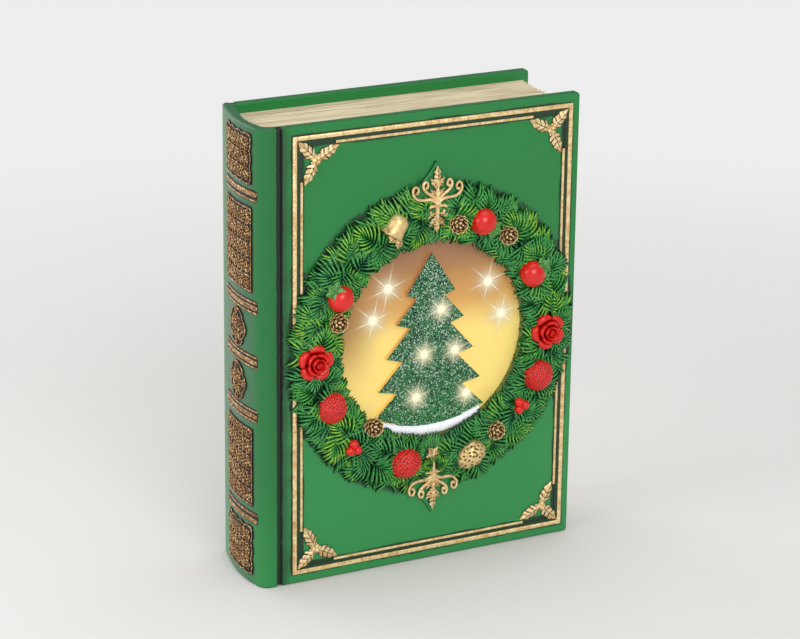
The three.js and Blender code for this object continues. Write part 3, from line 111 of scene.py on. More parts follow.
def srgb(red, green, blue):
    """A colour on the scale from 0 to 255, as the linear numbers that shaders use."""
    share = np.array([red, green, blue]) / 255
    linear = np.where(share <= 0.04045, share / 12.92, ((share + 0.055) / 1.055) ** 2.4)
    return (*linear.tolist(), 1.0)


class Wire:
    """One socket of a material's nodes. Sums, products and comparisons of wires and numbers
    add the Math nodes that work them out, and node() adds any other node."""

    def __init__(self, tree, socket=None):
        self.tree = tree
        self.socket = socket

    def node(self, kind, settings, inputs, output):
        """Adds a node of a kind. Its settings come first, then the value or the wire of each
        input. Gives the wire of its output."""
        made = self.tree.nodes.new(kind)
        for name, value in settings.items():
            setattr(made, name, value)
        for name, value in inputs.items():
            if isinstance(value, Wire):
                self.tree.links.new(value.socket, made.inputs[name])
            else:
                made.inputs[name].default_value = value
        return Wire(self.tree, made.outputs[output])

    def maths(self, operation, *values):
        return self.node("ShaderNodeMath", {"operation": operation}, dict(enumerate(values)), 0)

    def __add__(self, other):
        return self.maths("ADD", self, other)

    def __radd__(self, other):
        return self.maths("ADD", other, self)

    def __sub__(self, other):
        return self.maths("SUBTRACT", self, other)

    def __rsub__(self, other):
        return self.maths("SUBTRACT", other, self)

    def __mul__(self, other):
        return self.maths("MULTIPLY", self, other)

    def __rmul__(self, other):
        return self.maths("MULTIPLY", other, self)

    def __pow__(self, other):
        return self.maths("POWER", self, other)

    def __abs__(self):
        return self.maths("ABSOLUTE", self)


def new_finish(name):
    """Starts a material. Gives it with the wire of the book's own coordinates in millimetres."""
    material = bpy.data.materials.new(name)
    material.use_nodes = True
    start = Wire(material.node_tree)
    metres = start.node("ShaderNodeTexCoord", {}, {}, "Object")
    place = start.node(
        "ShaderNodeVectorMath", {"operation": "MULTIPLY_ADD"},
        {0: metres, 1: (1000, 1000, 1000), 2: tuple(-book_corner)}, "Vector",
    )
    return material, place


def lay_on(material, sockets):
    """Sets the surface's sockets, each to a number, a colour or a wire."""
    shader = material.node_tree.nodes["Principled BSDF"]
    for name, value in sockets.items():
        if isinstance(value, Wire):
            material.node_tree.links.new(value.socket, shader.inputs[name])
        else:
            shader.inputs[name].default_value = value


def axes_of(place):
    return [place.node("ShaderNodeSeparateXYZ", {}, {"Vector": place}, axis) for axis in "XYZ"]


def climb(value, low, high):
    """0 up to low and 1 from high on, with a smooth climb between them."""
    return value.node(
        "ShaderNodeMapRange", {"interpolation_type": "SMOOTHSTEP"},
        {"Value": value, "From Min": low, "From Max": high}, "Result",
    )


def in_units(place, size, stretch=(1, 1, 1)):
    """The place counted in steps of size along each axis, each step drawn out by its stretch."""
    return place.node(
        "ShaderNodeVectorMath", {"operation": "MULTIPLY"},
        {0: place, 1: tuple(1 / (size * share) for share in stretch)}, "Vector",
    )


def cloud(place, size, detail=3.0, stretch=(1, 1, 1)):
    """Noise from 0 to 1 in patches of about size, drawn out along the axes by stretch."""
    inputs = {"Vector": in_units(place, size, stretch), "Scale": 1.0, "Detail": detail}
    return place.node("ShaderNodeTexNoise", {}, inputs, "Fac")


def grains(place, size, output="Distance"):
    """Voronoi cells of about size: the distance from the cell's middle, or its own colour."""
    inputs = {"Vector": in_units(place, size), "Scale": 1.0}
    return place.node("ShaderNodeTexVoronoi", {}, inputs, output)


def blend(share, first, second):
    """The first colour where share is 0, and the second where it is 1."""
    return share.node(
        "ShaderNodeMix", {"data_type": "RGBA"}, {0: share, 6: first, 7: second}, 2,
    )


def relief(height, depth):
    """A normal from a height between 0 and 1 that stands for depth in millimetres."""
    return height.node("ShaderNodeBump", {}, {"Height": height, "Distance": depth / 1000}, "Normal")


seen_strength = 0.84
card_reach, lit_reach = 360, 900
card, place = new_finish("studio_card")
x, y, z = axes_of(place)
far = climb(x.maths("SQRT", x * x + y * y), card_reach, lit_reach)
paper_white = blend(cloud(place, 400, 2), srgb(223, 221, 219), srgb(228, 227, 225))
lay_on(card, {
    "Base Color": blend(far, paper_white, srgb(0, 0, 0)), "Roughness": 0.9, "Specular IOR Level": 0.1,
    "Emission Color": blend(far, srgb(0, 0, 0), (seen_strength, seen_strength, seen_strength, 1)),
    "Emission Strength": 1.0,
})
floor_reach = 6.0
floor_mesh = bpy.data.meshes.new("floor")
floor_mesh.from_pydata(
    [(-floor_reach, -floor_reach, 0), (floor_reach, -floor_reach, 0),
     (floor_reach, floor_reach, 0), (-floor_reach, floor_reach, 0)], [], [(0, 1, 2, 3)],
)
floor = bpy.data.objects.new("floor", floor_mesh)
bpy.context.collection.objects.link(floor)
floor.data.materials.append(card)

world = bpy.data.worlds.new("studio")
world.use_nodes = True
scene.world = world
air = Wire(world.node_tree)
light_strength = 0.5
seen = [air.node("ShaderNodeLightPath", {}, {}, ray)
        for ray in ("Is Camera Ray", "Is Transmission Ray")]
strength = light_strength + (seen_strength - light_strength) * (seen[0] + seen[1])
world.node_tree.links.new(strength.socket, world.node_tree.nodes["Background"].inputs["Strength"])
world.node_tree.nodes["Background"].inputs["Color"].default_value = (1, 1, 1, 1)

# Cover
# One resin casting: a front board, a rounded spine and a back board, with a window in front
# and an opening for the battery box behind. It is sprayed in a semi-gloss green, and a dark
# wash is rubbed into the joint groove. A dark wash with painted shade lies along the raised
# ornament, painted shade darkens the top and bottom edge faces, a painted sheen greys the
# spine's crown, and painted light makes the front lighter towards the bottom.

book_back, joint_x = 61.5, -92.7
window_radius, wreath_radius = 58.0, 87.0
border_half_width, border_half_height, border_middle = 85.3, 124.5, 3.05


def build_piece(name, parts):
    """A mesh object from parts of (corners, faces, marks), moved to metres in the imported
    frame. Marks are three numbers a corner that the paint reads."""
    corners, faces, marks, count = [], [], [], 0
    for points, polygons, numbers in parts:
        corners.append(points)
        marks.append(numbers)
        for group in polygons:
            faces.extend((group + count).tolist())
        count += len(points)
    mesh = bpy.data.meshes.new(name)
    mesh.from_pydata(((np.concatenate(corners) + book_corner) / 1000).tolist(), [], faces)
    attribute = mesh.attributes.new("marks", "FLOAT_VECTOR", "POINT")
    attribute.data.foreach_set("vector", np.concatenate(marks).astype(np.float32).ravel())
    mesh.shade_smooth()
    mesh.set_sharp_from_angle(angle=math.radians(48))
    piece = bpy.data.objects.new(name, mesh)
    bpy.context.collection.objects.link(piece)
    return piece


def marks_of(place):
    """The three marks that a built piece holds at each corner, as wires."""
    return axes_of(place.node("ShaderNodeAttribute", {"attribute_name": "marks"}, {}, "Vector"))


def dress(piece, material, replaced=(), body="casing"):
    """Gives a piece its finish and ties it to its body and to the nodes that it stands for."""
    piece.data.materials.clear()
    piece.data.materials.append(material)
    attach(piece, body)
    if replaced:
        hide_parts(*replaced)


def clothe(material, *names):
    """Gives carried-over nodes their finish."""
    for name in names:
        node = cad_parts[name]
        node.data.materials.clear()
        node.data.materials.append(material)


lacquer, place = new_finish("green_lacquer")
x, y, z = axes_of(place)
rise = z - middle_z
from_corner = abs(x).maths("MAXIMUM", abs(x) - border_half_width, abs(rise) - border_half_height)
edge_noise = cloud(place, 2.5, 4) - 0.5
drift = cloud(place, 18, 3) - 0.5
on_front = 1 - climb(y, 1.2, 2.4)
from_joint = abs(x - joint_x + 1.2 * edge_noise) + 1.2 * drift
from_face = abs(abs(y - book_back / 2) - book_back / 2)
in_joint = (1 - climb(from_joint, 1.2, 2.7)) * (1 - climb(from_face, 3.4, 5.0))
in_joint = in_joint * (0.78 + 0.22 * climb(rise + 60 * drift, -60, 10))
# Painted shade, partly a dark wash, darkens the board beside the gilt border, round the wreath and
# towards the edges of the finial pads.
from_border = abs(from_corner + border_middle) + 1.4 * edge_noise + 3 * drift
border_wash_and_shade = (1 - climb(from_border, 3.0, 5.2)) * on_front
around = x.maths("SQRT", x * x + rise * rise)
wavy_radius = around + 6 * edge_noise + 6 * drift
wreath_wash_and_shade = (1 - climb(wavy_radius, wreath_radius, wreath_radius + 7)) * on_front
# The finial pads' marks paint shade towards their edges.
pad_edge_shade = marks_of(place)[2]
wreath_wash_and_shade = wreath_wash_and_shade * (1 - climb(pad_edge_shade, 0, 0.01))
# The wash darkens the joint groove, and beside the ornament it is partly painted shade.
wash_and_shade = climb(in_joint * 1.2 + 0.95 * border_wash_and_shade + 0.85 * wreath_wash_and_shade + pad_edge_shade, 0.3, 1.0)
cast = cloud(place, 60, 2)
# Painted light: the green is lighter towards the bottom of the cover and darker at the top.
greens = blend(climb(rise + 60 * (cast - 0.5), -90, 80), srgb(36, 140, 70), srgb(14, 124, 54))
on_spine_side = climb(x * -1, 93, 95) * (1 - climb(z * -1 + 50 * cast, -60, 60))
greens = blend(on_spine_side * 0.85, greens, srgb(0, 106, 44))
strip_tone = 0.84 * climb(x, -91.4, -91) * (1 - climb(x + 8 * drift, -91, -84)) * (1 - climb(y, 0, 3))
# Painted sheen: the spine's crown is greyed as if it reflected the light at a grazing angle.
crown_sheen = 0.5 * climb(y, 5, 12) * (1 - climb(x, -102.5, -101))
greyed = blend(crown_sheen, blend(strip_tone, greens, srgb(18, 74, 36)), srgb(56, 100, 74))
# Painted shade: the top and bottom edge faces are darker, rougher and less glossy.
edge_face_shade = climb(abs(rise), middle_z - 0.9, middle_z - 0.2)
edge_shaded = blend(edge_face_shade * 0.8, greyed, srgb(14, 84, 42))
dust = 1 - climb(grains(place, 9), 0.012, 0.03)
# The dark green is the wash and painted shade beside the ornament, the near-black the joint.
stain = blend(climb(in_joint, 0.1, 0.6), srgb(11, 42, 23), srgb(7, 10, 8))
in_window = (1 - climb(around, window_radius + 0.1, window_radius + 0.6)) * (1 - climb(y, 6, 8))
reflected = blend(cloud(place, 1.7, 3), srgb(16, 46, 20), srgb(150, 160, 70))
cover_colour = blend(dust * 0.5, blend(wash_and_shade * 0.96, edge_shaded, stain), srgb(168, 206, 176))
cover_colour = blend(in_window * 0.8, cover_colour, reflected)
ripple = cloud(place, 9, 3) * 0.7 + cloud(place, 0.7, 2) * 0.3
lay_on(lacquer, {
    "Base Color": cover_colour, "Roughness": 0.32 + 0.14 * cloud(place, 14, 4) + 0.2 * wash_and_shade + 0.2 * edge_face_shade,
    "Normal": relief(ripple, 0.12), "Coat Weight": 0.16 - 0.15 * edge_face_shade, "Coat Roughness": 0.14,
})

cover_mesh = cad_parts["cover_casing"].data.copy()
work = bmesh.new()
work.from_mesh(cover_mesh)
bmesh.ops.remove_doubles(work, verts=work.verts, dist=2e-6)
bmesh.ops.dissolve_limit(work, angle_limit=math.radians(0.4), verts=work.verts, edges=work.edges)
work.to_mesh(cover_mesh)
work.free()
cover_mesh.shade_smooth()
cover_mesh.set_sharp_from_angle(angle=math.radians(35))
cover = bpy.data.objects.new("cover", cover_mesh)
bpy.context.collection.objects.link(cover)
edge_radius = 0.6
rounding = cover.modifiers.new("rounding", "BEVEL")
rounding.width = edge_radius / 1000
rounding.segments = 3
rounding.limit_method = "ANGLE"
rounding.angle_limit = math.radians(32)
rounding.harden_normals = True
dress(cover, lacquer, ["cover_casing"])

# Page block
# A cast block of closed leaves, ribbed along its head, tail and fore edge. It is painted cream,
# and a thin brown wash lies between the leaves.

paper, place = new_finish("leaf_paint")
leaves = cloud(place, 0.34, 2, (90, 1, 90))
bundles = cloud(place, 2.6, 3, (30, 1, 30))
waves = cloud(place, 1.1, 2, (22, 1, 22))
shade = climb(leaves * 0.45 + bundles * 0.25 + waves * 0.3, 0.33, 0.56)
spots = (1 - climb(grains(place, 9), 0.05, 0.09)) * 0.5
pale = blend(cloud(place, 30, 2), srgb(206, 193, 158), srgb(222, 210, 178))
cream = blend(shade, srgb(140, 116, 80), pale)
lay_on(paper, {
    "Base Color": blend(spots, cream, srgb(96, 74, 46)), "Roughness": 0.78,
    "Normal": relief(leaves * 0.4 + waves * 0.4 + bundles * 0.2, 0.55),
})
clothe(paper, "page_block")

# Window
# A lit plastic disc, painted copper brown at the top and warm yellow below, stands behind a
# cut-out fir tree with glitter on it and a bank of snow. Nine lamps shine through them, and the
# halo and thin rays that a photograph shows round each are part of the two paints.

sky_lamp_shares = np.array([[-0.434, 0.532], [-0.59, 0.24], [0.64, 0.462], [0.791, 0.119]])
tree_lamp_shares = np.array(
    [[0.109, 0.269], [-0.067, -0.155], [0.267, -0.157], [-0.146, -0.577], [0.396, -0.612]]
)


def lamp_glow(x, rise, lamp_shares, core, halo, ray_reach):
    """The light round lamps: a bright core, a halo that fades outwards, six long thin rays and
    shorter ones between them."""
    total = 0.0
    for across, up in lamp_shares * window_radius:
        away_x, away_z = x - across, rise - up
        distance = x.maths("SQRT", away_x * away_x + away_z * away_z)
        turn = x.maths("ARCTAN2", away_z, away_x)
        long_rays = abs(x.maths("COSINE", turn * 3 - 0.94)) ** 90
        short_rays = abs(x.maths("COSINE", turn * 9 + 0.4)) ** 24
        fading = 1 - climb(distance, core * 0.5, ray_reach)
        total = total + 0.8 * long_rays * fading + 0.35 * short_rays * fading ** 5
        total = total + (1 - climb(distance, core * 0.6, core * 1.7))
        total = total + 0.75 * (1 - climb(distance, core * 0.5, halo)) ** 3
    return total


sky, place = new_finish("lit_backdrop")
x, y, z = axes_of(place)
rise = z - middle_z
drift = cloud(place, 42, 2) - 0.5
height_share = rise * (-0.5 / window_radius) + 0.5 + 0.16 * drift
upper = blend(climb(height_share, 0.05, 0.34), srgb(132, 94, 64), srgb(180, 134, 72))
dusk = blend(climb(height_share, 0.3, 0.5), upper, srgb(215, 190, 108))
# Painted shadow: the disc's upper left is a darker brown, as if shaded by the window's rim.
upper_left_shadow = climb(x * -1 + 10 * drift, 24, 52) * (1 - climb(height_share, 0.4, 0.75))
tone = blend(upper_left_shadow * 0.85, dusk, srgb(130, 88, 48))
glow = lamp_glow(x, rise, sky_lamp_shares, 2.0, 18, 19)
lit = glow.maths("MINIMUM", glow, 1.0)
dim = blend(lit, srgb(0, 0, 0), srgb(255, 247, 216))
lay_on(sky, {
    "Base Color": blend(lit, tone, srgb(70, 60, 44)), "Roughness": 0.45,
    "Emission Color": blend(0.6 - 0.6 * lit, dim, tone), "Emission Strength": 0.92,
    "Normal": relief(cloud(place, 6, 3), 0.1),
})
clothe(sky, "backdrop")


def cell_share(cells, channel):
    """A random share for each cell of grains: one channel of the cell's own colour."""
    return cells.node("ShaderNodeSeparateColor", {}, {"Color": cells}, channel)


glitter, place = new_finish("glittered_plate")
x, y, z = axes_of(place)
rise = z - middle_z
flecks = grains(place, 0.62, "Color")
fleck, dark_fleck = cell_share(flecks, "Red"), cell_share(flecks, "Green")
patch = cloud(place, 16, 3)
green = blend(climb(rise * -1 + 14 * patch, 26, 52), srgb(44, 118, 70), srgb(46, 132, 66))
sparkle = climb(fleck + 0.4 * (patch - 0.5) + 0.0016 * rise, 0.68, 0.76)
dotted = blend(sparkle, green, srgb(180, 210, 184))
dotted = blend(climb(dark_fleck, 0.64, 0.7), dotted, srgb(12, 42, 28))
glow = lamp_glow(x, rise, tree_lamp_shares, 1.8, 13, 12)
lit = glow.maths("MINIMUM", glow, 1.0)
on_face = 1 - climb(y, 2.3, 2.7)
# Painted light: the tree's side faces take a yellow to brown colour and a faint glow, as if lit by the
# backdrop, yellow below and brown above.
lit_side_colour = blend(climb(rise, -30, 34), srgb(232, 192, 104), srgb(176, 122, 80))
face = blend(lit, dotted, srgb(70, 66, 50))
edge_glow = blend(0.35 - 0.35 * on_face, srgb(0, 0, 0), lit_side_colour)
lay_on(glitter, {
    "Base Color": blend(on_face, lit_side_colour, face),
    "Roughness": 0.35 + 0.4 * fleck, "Metallic": 0.4 * sparkle * on_face,
    "Emission Color": blend(lit, edge_glow, srgb(255, 244, 206)),
    "Emission Strength": 0.92, "Normal": relief(fleck, 0.35),
})
clothe(glitter, "fir_tree")

snow, place = new_finish("snow_paint")
crust = cloud(place, 1.2, 5)
specks = 1 - climb(grains(place, 3.1), 0.07, 0.12)
white = blend(crust, srgb(238, 242, 247), srgb(252, 253, 255))
# A faint painted glow: the snow gives off a little light of its own.
lay_on(snow, {
    "Base Color": blend(specks * 0.7, white, srgb(70, 80, 84)),
    "Roughness": 0.85, "Normal": relief(crust, 0.4), "Emission Color": srgb(226, 234, 246),
    "Emission Strength": 0.1,
})


def together(*axes):
    """Points from arrays or numbers that are spread to one shape, an axis of the points each."""
    return np.stack(np.broadcast_arrays(*axes), -1)


def solid_rings(points, marks=0.0, loop=False):
    """Closed bodies from (bodies, rings, around, 3) points. A ring's corners join in a loop.
    The first and the last ring get an end face, or join each other where loop is true. A body
    whose faces would point inwards, by the sign of its volume, is turned round."""
    bodies, rings, around, _ = points.shape
    ring = np.arange(rings if loop else rings - 1)[:, None] * around
    corner = np.arange(around)[None, :]
    after = (corner + 1) % around
    above = (ring + around) % (rings * around)
    quads = np.stack([ring + corner, ring + after, above + after, above + corner], -1).reshape(-1, 4)
    flat = points.reshape(bodies, rings * around, 3)
    from_middle = flat - flat.mean(1, keepdims=True)
    a, b, c, d = (from_middle[:, quads[:, k]] for k in range(4))
    volume = np.einsum("bqi,bqi->b", a, np.cross(b, c)) + np.einsum("bqi,bqi->b", a, np.cross(c, d))
    starts = (np.arange(bodies) * rings * around)[:, None, None]
    flipped = (volume < 0)[:, None, None]
    sides = np.where(flipped, quads[:, ::-1], quads) + starts
    groups = [sides.reshape(-1, 4)]
    if not loop:
        ends = np.stack([corner[0, ::-1], corner[0] + (rings - 1) * around])
        groups.append((np.where(flipped, ends[:, ::-1], ends) + starts).reshape(-1, around))
    numbers = np.broadcast_to(marks, points.shape).reshape(-1, 3)
    return flat.reshape(-1, 3), groups, numbers


snow_arc_rise, snow_arc_radius, sill_radius = 36.0, 86.0, 57.4


def snow_line(x):
    """The height of the snow's upper edge: an arc about a place above the window's centre."""
    return middle_z + snow_arc_rise - np.sqrt(snow_arc_radius ** 2 - x ** 2)


def snow_bank():
    """A crescent between two arcs, its edges roughened by waves: each ring is an upright
    section that goes from the plate's face forward to the snow's face and back."""
    u = np.linspace(-1, 1, 90)[:, None]
    rough = 0.28 * np.sin(u * 61) * np.sin(u * 23 + 1) + 0.16 * np.sin(u * 143)
    x = 31.2 * u
    upper = snow_line(x) + 0.5 * rough
    lower = middle_z - np.sqrt(sill_radius ** 2 - x ** 2) + 0.4 + rough - rough * np.abs(u)
    lower = np.minimum(lower, upper - 0.4)
    turn = np.linspace(0, math.pi, 9)[None, :]
    height = upper + (lower - upper) * (1 - np.cos(turn)) / 2
    forward = 5.0 - 4.1 * np.sin(turn) ** 0.45
    return solid_rings(together(x, forward, height)[None])


dress(build_piece("snow", [snow_bank()]), snow, ["snow_bank"])

tree_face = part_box("fir_tree")[0][1] * 1000 - book_corner[1]
tree_foot_rise = -47.4


def tree_foot():
    """A crescent of the glittered plate between the tree's straight foot and the snow's upper
    arc, a little in front of the tree's face."""
    x = np.linspace(-20.6, 20.6, 40)
    top = middle_z + tree_foot_rise
    low = np.minimum(snow_line(x) - 0.9, top - 0.05)
    front, back = tree_face - 0.05, tree_face + 1
    corners = [together(x, depth, height)
               for height, depth in ((top, front), (low, front), (low, back), (top, back))]
    return solid_rings(np.stack(corners, 1)[None])


dress(build_piece("tree_foot", [tree_foot()]), glitter)

bulb, place = new_finish("lamp_epoxy")
lay_on(bulb, {
    "Base Color": blend(cloud(place, 1, 1), srgb(96, 88, 66), srgb(120, 112, 90)),
    "Roughness": 0.3, "Emission Color": srgb(255, 249, 224), "Emission Strength": 0.9,
})

bulb_radius, flange_radius, flange_thickness = 1.5, 1.9, 1.0


def lamp_dome(node):
    """A lamp as a lathe along y: a round nose, a straight body and a flange at the back."""
    low, high = (np.array(corner) * 1000 - book_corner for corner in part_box(node))
    centre = (low + high) / 2
    turn = np.linspace(0, 2 * math.pi, 20, endpoint=False)
    fall = np.linspace(0.06, math.pi / 2, 6)
    radius = np.concatenate([bulb_radius * np.sin(fall), [bulb_radius, flange_radius, flange_radius]])
    flange_front = high[1] - flange_thickness
    nose = low[1] + bulb_radius * (1 - np.cos(fall))
    depth = np.concatenate([nose, [flange_front, flange_front + 0.05, high[1]]])
    x = centre[0] + radius[:, None] * np.cos(turn)
    z = centre[2] + radius[:, None] * np.sin(turn)
    return solid_rings(together(x, depth[:, None], z)[None])


for group, count in (("sky", 4), ("tree", 5)):
    for number in range(1, count + 1):
        node = f"lamp_{group}_{number}"
        dress(build_piece(f"bulb_{group}_{number}", [lamp_dome(node)]), bulb, [node])

# Gilt border and corner holly
# Two cast beads run round the front board with a narrow dark channel between them. They are
# brushed with gilt that leaves the channel and the undercut edges dark. Three spined holly
# leaves and three berries fill each corner.

gilt, place = new_finish("gilt_paint")
x, y, z = axes_of(place)
brushed = cloud(place, 3.2, 4)
fine = cloud(place, 0.7, 3)
gold = blend(climb(brushed * 0.6 + 0.7 * fine, 0.42, 0.86), srgb(206, 154, 84), srgb(255, 236, 182))
channel, _, groove = marks_of(place)
low_down = climb(groove + 0.3 * (fine - 0.5), 0.4, 0.8)
stain = blend(climb(channel, 1.2, 1.5), srgb(26, 22, 12), srgb(18, 56, 28))
lay_on(gilt, {
    "Base Color": blend(low_down, gold, stain), "Metallic": 0.3 - 0.3 * low_down,
    "Roughness": 0.3 + 0.2 * brushed, "Normal": relief(fine * 0.6 + brushed * 0.4, 0.14),
})

outer_bead_width = 2.6
bead_arc = np.linspace(0, math.pi, 9)
bead_sections = []
for inset, width, height in ((0.0, outer_bead_width, 1.3), (4.5, 1.6, 1.1)):
    across = inset + width / 2 - width / 2 * np.cos(bead_arc)
    bead_sections.append((across, 0.12 + (height - 0.12) * np.sin(bead_arc) ** 0.8))


def border_run(ends, section, facing):
    """A bead along points of a rectangle, each (x sign, z sign, height, x). None for the height
    or the x puts the point on the rectangle's edge, where each line of the section keeps its own
    distance from it, so two sides meet in a mitre."""
    across, height = section
    rings = []
    for x_sign, z_sign, z_end, x_end in ends:
        x = x_sign * (border_half_width - across) if x_end is None else x_end
        z = z_sign * (border_half_height - across) if z_end is None else z_end
        rings.append(together(x, -height, middle_z + facing * z))
    ring = np.array(rings)
    flat_base = ring * (1, 0, 1)
    body = np.concatenate([ring, flat_base[:, ::-1][:, 1:-1]], 1)[None]
    dark = np.concatenate([1 - np.sin(bead_arc) ** 0.5, np.ones(len(across) - 2)])
    marks = np.zeros((len(across) * 2 - 2, 3))
    marks[:, 2] = dark
    return solid_rings(body, marks)


outer_start, inner_start, inner_stop, inner_reach = 16.0, 37.5, 99.2, 60.0
channel_start, channel_insets, channel_lifts = 24.0, (2.4, 2.5, 4.6, 4.7), (0.0, 0.38, 0.38, 0.0)


def border(facing):
    """The outer bead goes up one side, over and down the other. The inner bead stops at the
    holly in each corner, and both stop where the wreath lies over them."""
    outer, inner = bead_sections
    over = [(-1, 1, outer_start, None), (-1, 1, None, None),
            (1, 1, None, None), (1, 1, outer_start, None)]
    parts = [border_run(over, outer, facing)]
    for side in (-1, 1):
        upright = [(side, 1, inner_start, None), (side, 1, inner_stop, None)]
        parts.append(border_run(upright, inner, facing))
    level = [(1, 1, None, -inner_reach), (1, 1, None, inner_reach)]
    parts.append(border_run(level, inner, facing))
    insets, lifts = np.array(channel_insets), np.array(channel_lifts)
    x = np.array([-1, -1, 1, 1])[:, None] * (border_half_width - insets)
    start, top = np.full(4, channel_start), border_half_height - insets
    z = np.stack([start, top, top, start])
    parts.append(solid_rings(together(x, -lifts, middle_z + facing * z)[None], (2, 0, 1)))
    return parts


for half, facing in (("top", 1), ("bottom", -1)):
    dress(build_piece(f"gilt_frame_{half}", border(facing)), gilt, [f"border_{half}"])


def lay(points, x, z, heading, lift=0.0, tilt=0.0, size=1.0):
    """Lays shapes that point along +x with their backs on z = 0 on the front: raises their tips
    by tilt, turns them to heading, and moves their roots to x, z at the height lift in front of
    the board. Each of these may be one number for all bodies or one number a body."""
    x, z, heading, lift, tilt, size = (
        np.reshape(value, (-1, 1, 1)) for value in (x, z, heading, lift, tilt, size)
    )
    heading, tilt = np.radians(heading), np.radians(tilt)
    along, across, height = (size * points[..., axis] for axis in range(3))
    forward = along * np.cos(tilt) - height * np.sin(tilt)
    front = along * np.sin(tilt) + height * np.cos(tilt) + lift
    return together(
        x + forward * np.cos(heading) - across * np.sin(heading),
        -front,
        z + forward * np.sin(heading) + across * np.cos(heading),
    )


def veined_leaf(length, half_width, thickness, teeth, depth, veins, rings=30, across=11):
    """A leaf along +x. Its half width is a sine hump cut by a saw wave into teeth. Its top is
    arched across, with a raised midrib and grooves that run from it slantwise to the edge.
    Gives (1, rings, around, 3) points and marks of [along, across, groove]."""
    u = np.linspace(0, 1, rings)[:, None]
    v = np.linspace(-1, 1, across)[None, :]
    saw = np.abs(2 * ((u * teeth + 0.35) % 1) - 1)
    hump = np.sin(math.pi * np.clip(u, 0.015, 0.985) ** 0.85) ** 0.75
    width = half_width * hump * (1 - depth * saw)
    arch = (1 - 0.75 * v ** 2) * (0.55 + 0.45 * hump)
    slant = (u * veins - np.abs(v) * 0.8) % 1
    groove = np.exp(-((slant - 0.5) / 0.16) ** 2) * np.clip(np.abs(v) * 3, 0, 1) * hump
    midrib = np.exp(-(v / 0.13) ** 2)
    height = thickness * (arch * (1 - 0.28 * groove) + 0.16 * midrib)
    top = together(u * length, v * width, height)
    back = top[:, ::-1][:, 1:-1] * (1, 1, 0)
    points = np.concatenate([top, back], 1)[None]
    dark = np.clip(groove * 1.3 + 0.8 * np.exp(-(v / 0.09) ** 2) + (np.abs(v) > 0.97) * 0.9, 0, 1)
    marks = np.zeros(points.shape[1:])
    marks[:, :across, 0] = u
    marks[:, :across, 1] = np.abs(v)
    marks[:, :across, 2] = dark
    marks[:, across:, 2] = 1
    return points, marks[None]


def round_profile(fall):
    """A ball's outline by the angle from its axis, as [along, radius]."""
    return np.cos(fall), np.sin(fall)


def directions(rings, around, profile=round_profile):
    """A grid over a ball about the x axis, or over the shape that another profile gives, as
    (rings, around, 3) numbers."""
    fall = np.linspace(0.03, math.pi - 0.03, rings)[:, None]
    turn = np.linspace(0, 2 * math.pi, around, endpoint=False)[None, :]
    along, out = profile(fall)
    return together(along, out * np.cos(turn), out * np.sin(turn))


def ball(radius, x, z, lift, heading=0.0, tilt=90.0, profile=round_profile, rings=20, around=26):
    """A ball, or the shape that another profile gives, about an axis that leans out of the
    front by tilt towards heading. Gives (1, rings, around, 3) points."""
    shape = radius * directions(rings, around, profile)
    return lay(shape[None], x, z, heading, lift, tilt)


def shallow(points, depth=0.0):
    """Flattens what lies behind the board's face on to it."""
    points[..., 1] = np.minimum(points[..., 1], depth)
    return points


def away_from(x, z, distance, degrees):
    """The place at a distance from x, z in a direction."""
    turn = math.radians(degrees)
    return x + distance * math.cos(turn), z + distance * math.sin(turn)


holly_inset, holly_half_width, holly_thickness, holly_berry_radius = 13.8, 3.9, 1.9, 1.4
holly_length = (holly_inset - outer_bead_width - 0.6) * math.sqrt(2) - 0.1
for quarter, corner in enumerate(("top_left", "top_right", "bottom_right", "bottom_left")):
    corner_x = (1 if quarter in (1, 2) else -1) * (border_half_width - holly_inset)
    corner_z = middle_z + (1 if quarter < 2 else -1) * (border_half_height - holly_inset)
    points, marks = veined_leaf(holly_length, holly_half_width, holly_thickness, 3, 0.24, 5)
    parts = [solid_rings(lay(points, corner_x, corner_z, 135 - 90 * quarter + fan), marks)
             for fan in (0, 108, -108)]
    for turn in (60, 180, 300):
        berry_x, berry_z = away_from(corner_x, corner_z, holly_berry_radius, turn)
        berry = ball(holly_berry_radius, berry_x, berry_z, 1.2, rings=12, around=16)
        parts.append(solid_rings(shallow(berry)))
    dress(build_piece(f"gilt_holly_{corner}", parts), gilt, [f"corner_holly_{corner}"])

# Fir wreath
# A swollen ring of resin is packed with over three hundred fans of thick needles that
# overlap. The ring and the gaps between needles are dark, partly paint and partly painted
# shade, and the ridges are brushed with light green and a little yellow, partly paint and partly
# painted highlight. Each fan is a spray of bent needles, laid in rows with a small random turn.

fir, place = new_finish("fir_paint")
along, tint, ridge = marks_of(place)
mottle = cloud(place, 1.4, 3)
body_green = blend(climb(tint, 0.1, 0.8), srgb(14, 104, 54), srgb(30, 132, 44))
lightness = climb(ridge + 0.4 * (mottle - 0.5), 0.3, 0.8)
shaded = blend(lightness, srgb(5, 28, 20), body_green)
light_green = blend(climb(tint, 0.66, 0.92), srgb(86, 168, 84), srgb(156, 204, 60))
tip_light = climb(ridge + 0.9 * (mottle - 0.5) + 0.2 * along, 0.76, 1.14)
lay_on(fir, {
    "Base Color": blend(tip_light * 0.85, shaded, light_green),
    "Roughness": 0.34 + 0.2 * mottle, "Normal": relief(mottle, 0.12),
})

ring_inner, ring_outer, ring_relief = 57.6, 86.0, 1.6
pad_root, pad_tip, pad_half_width, pad_relief = 80.5, 101.3, 20.0, 1.9


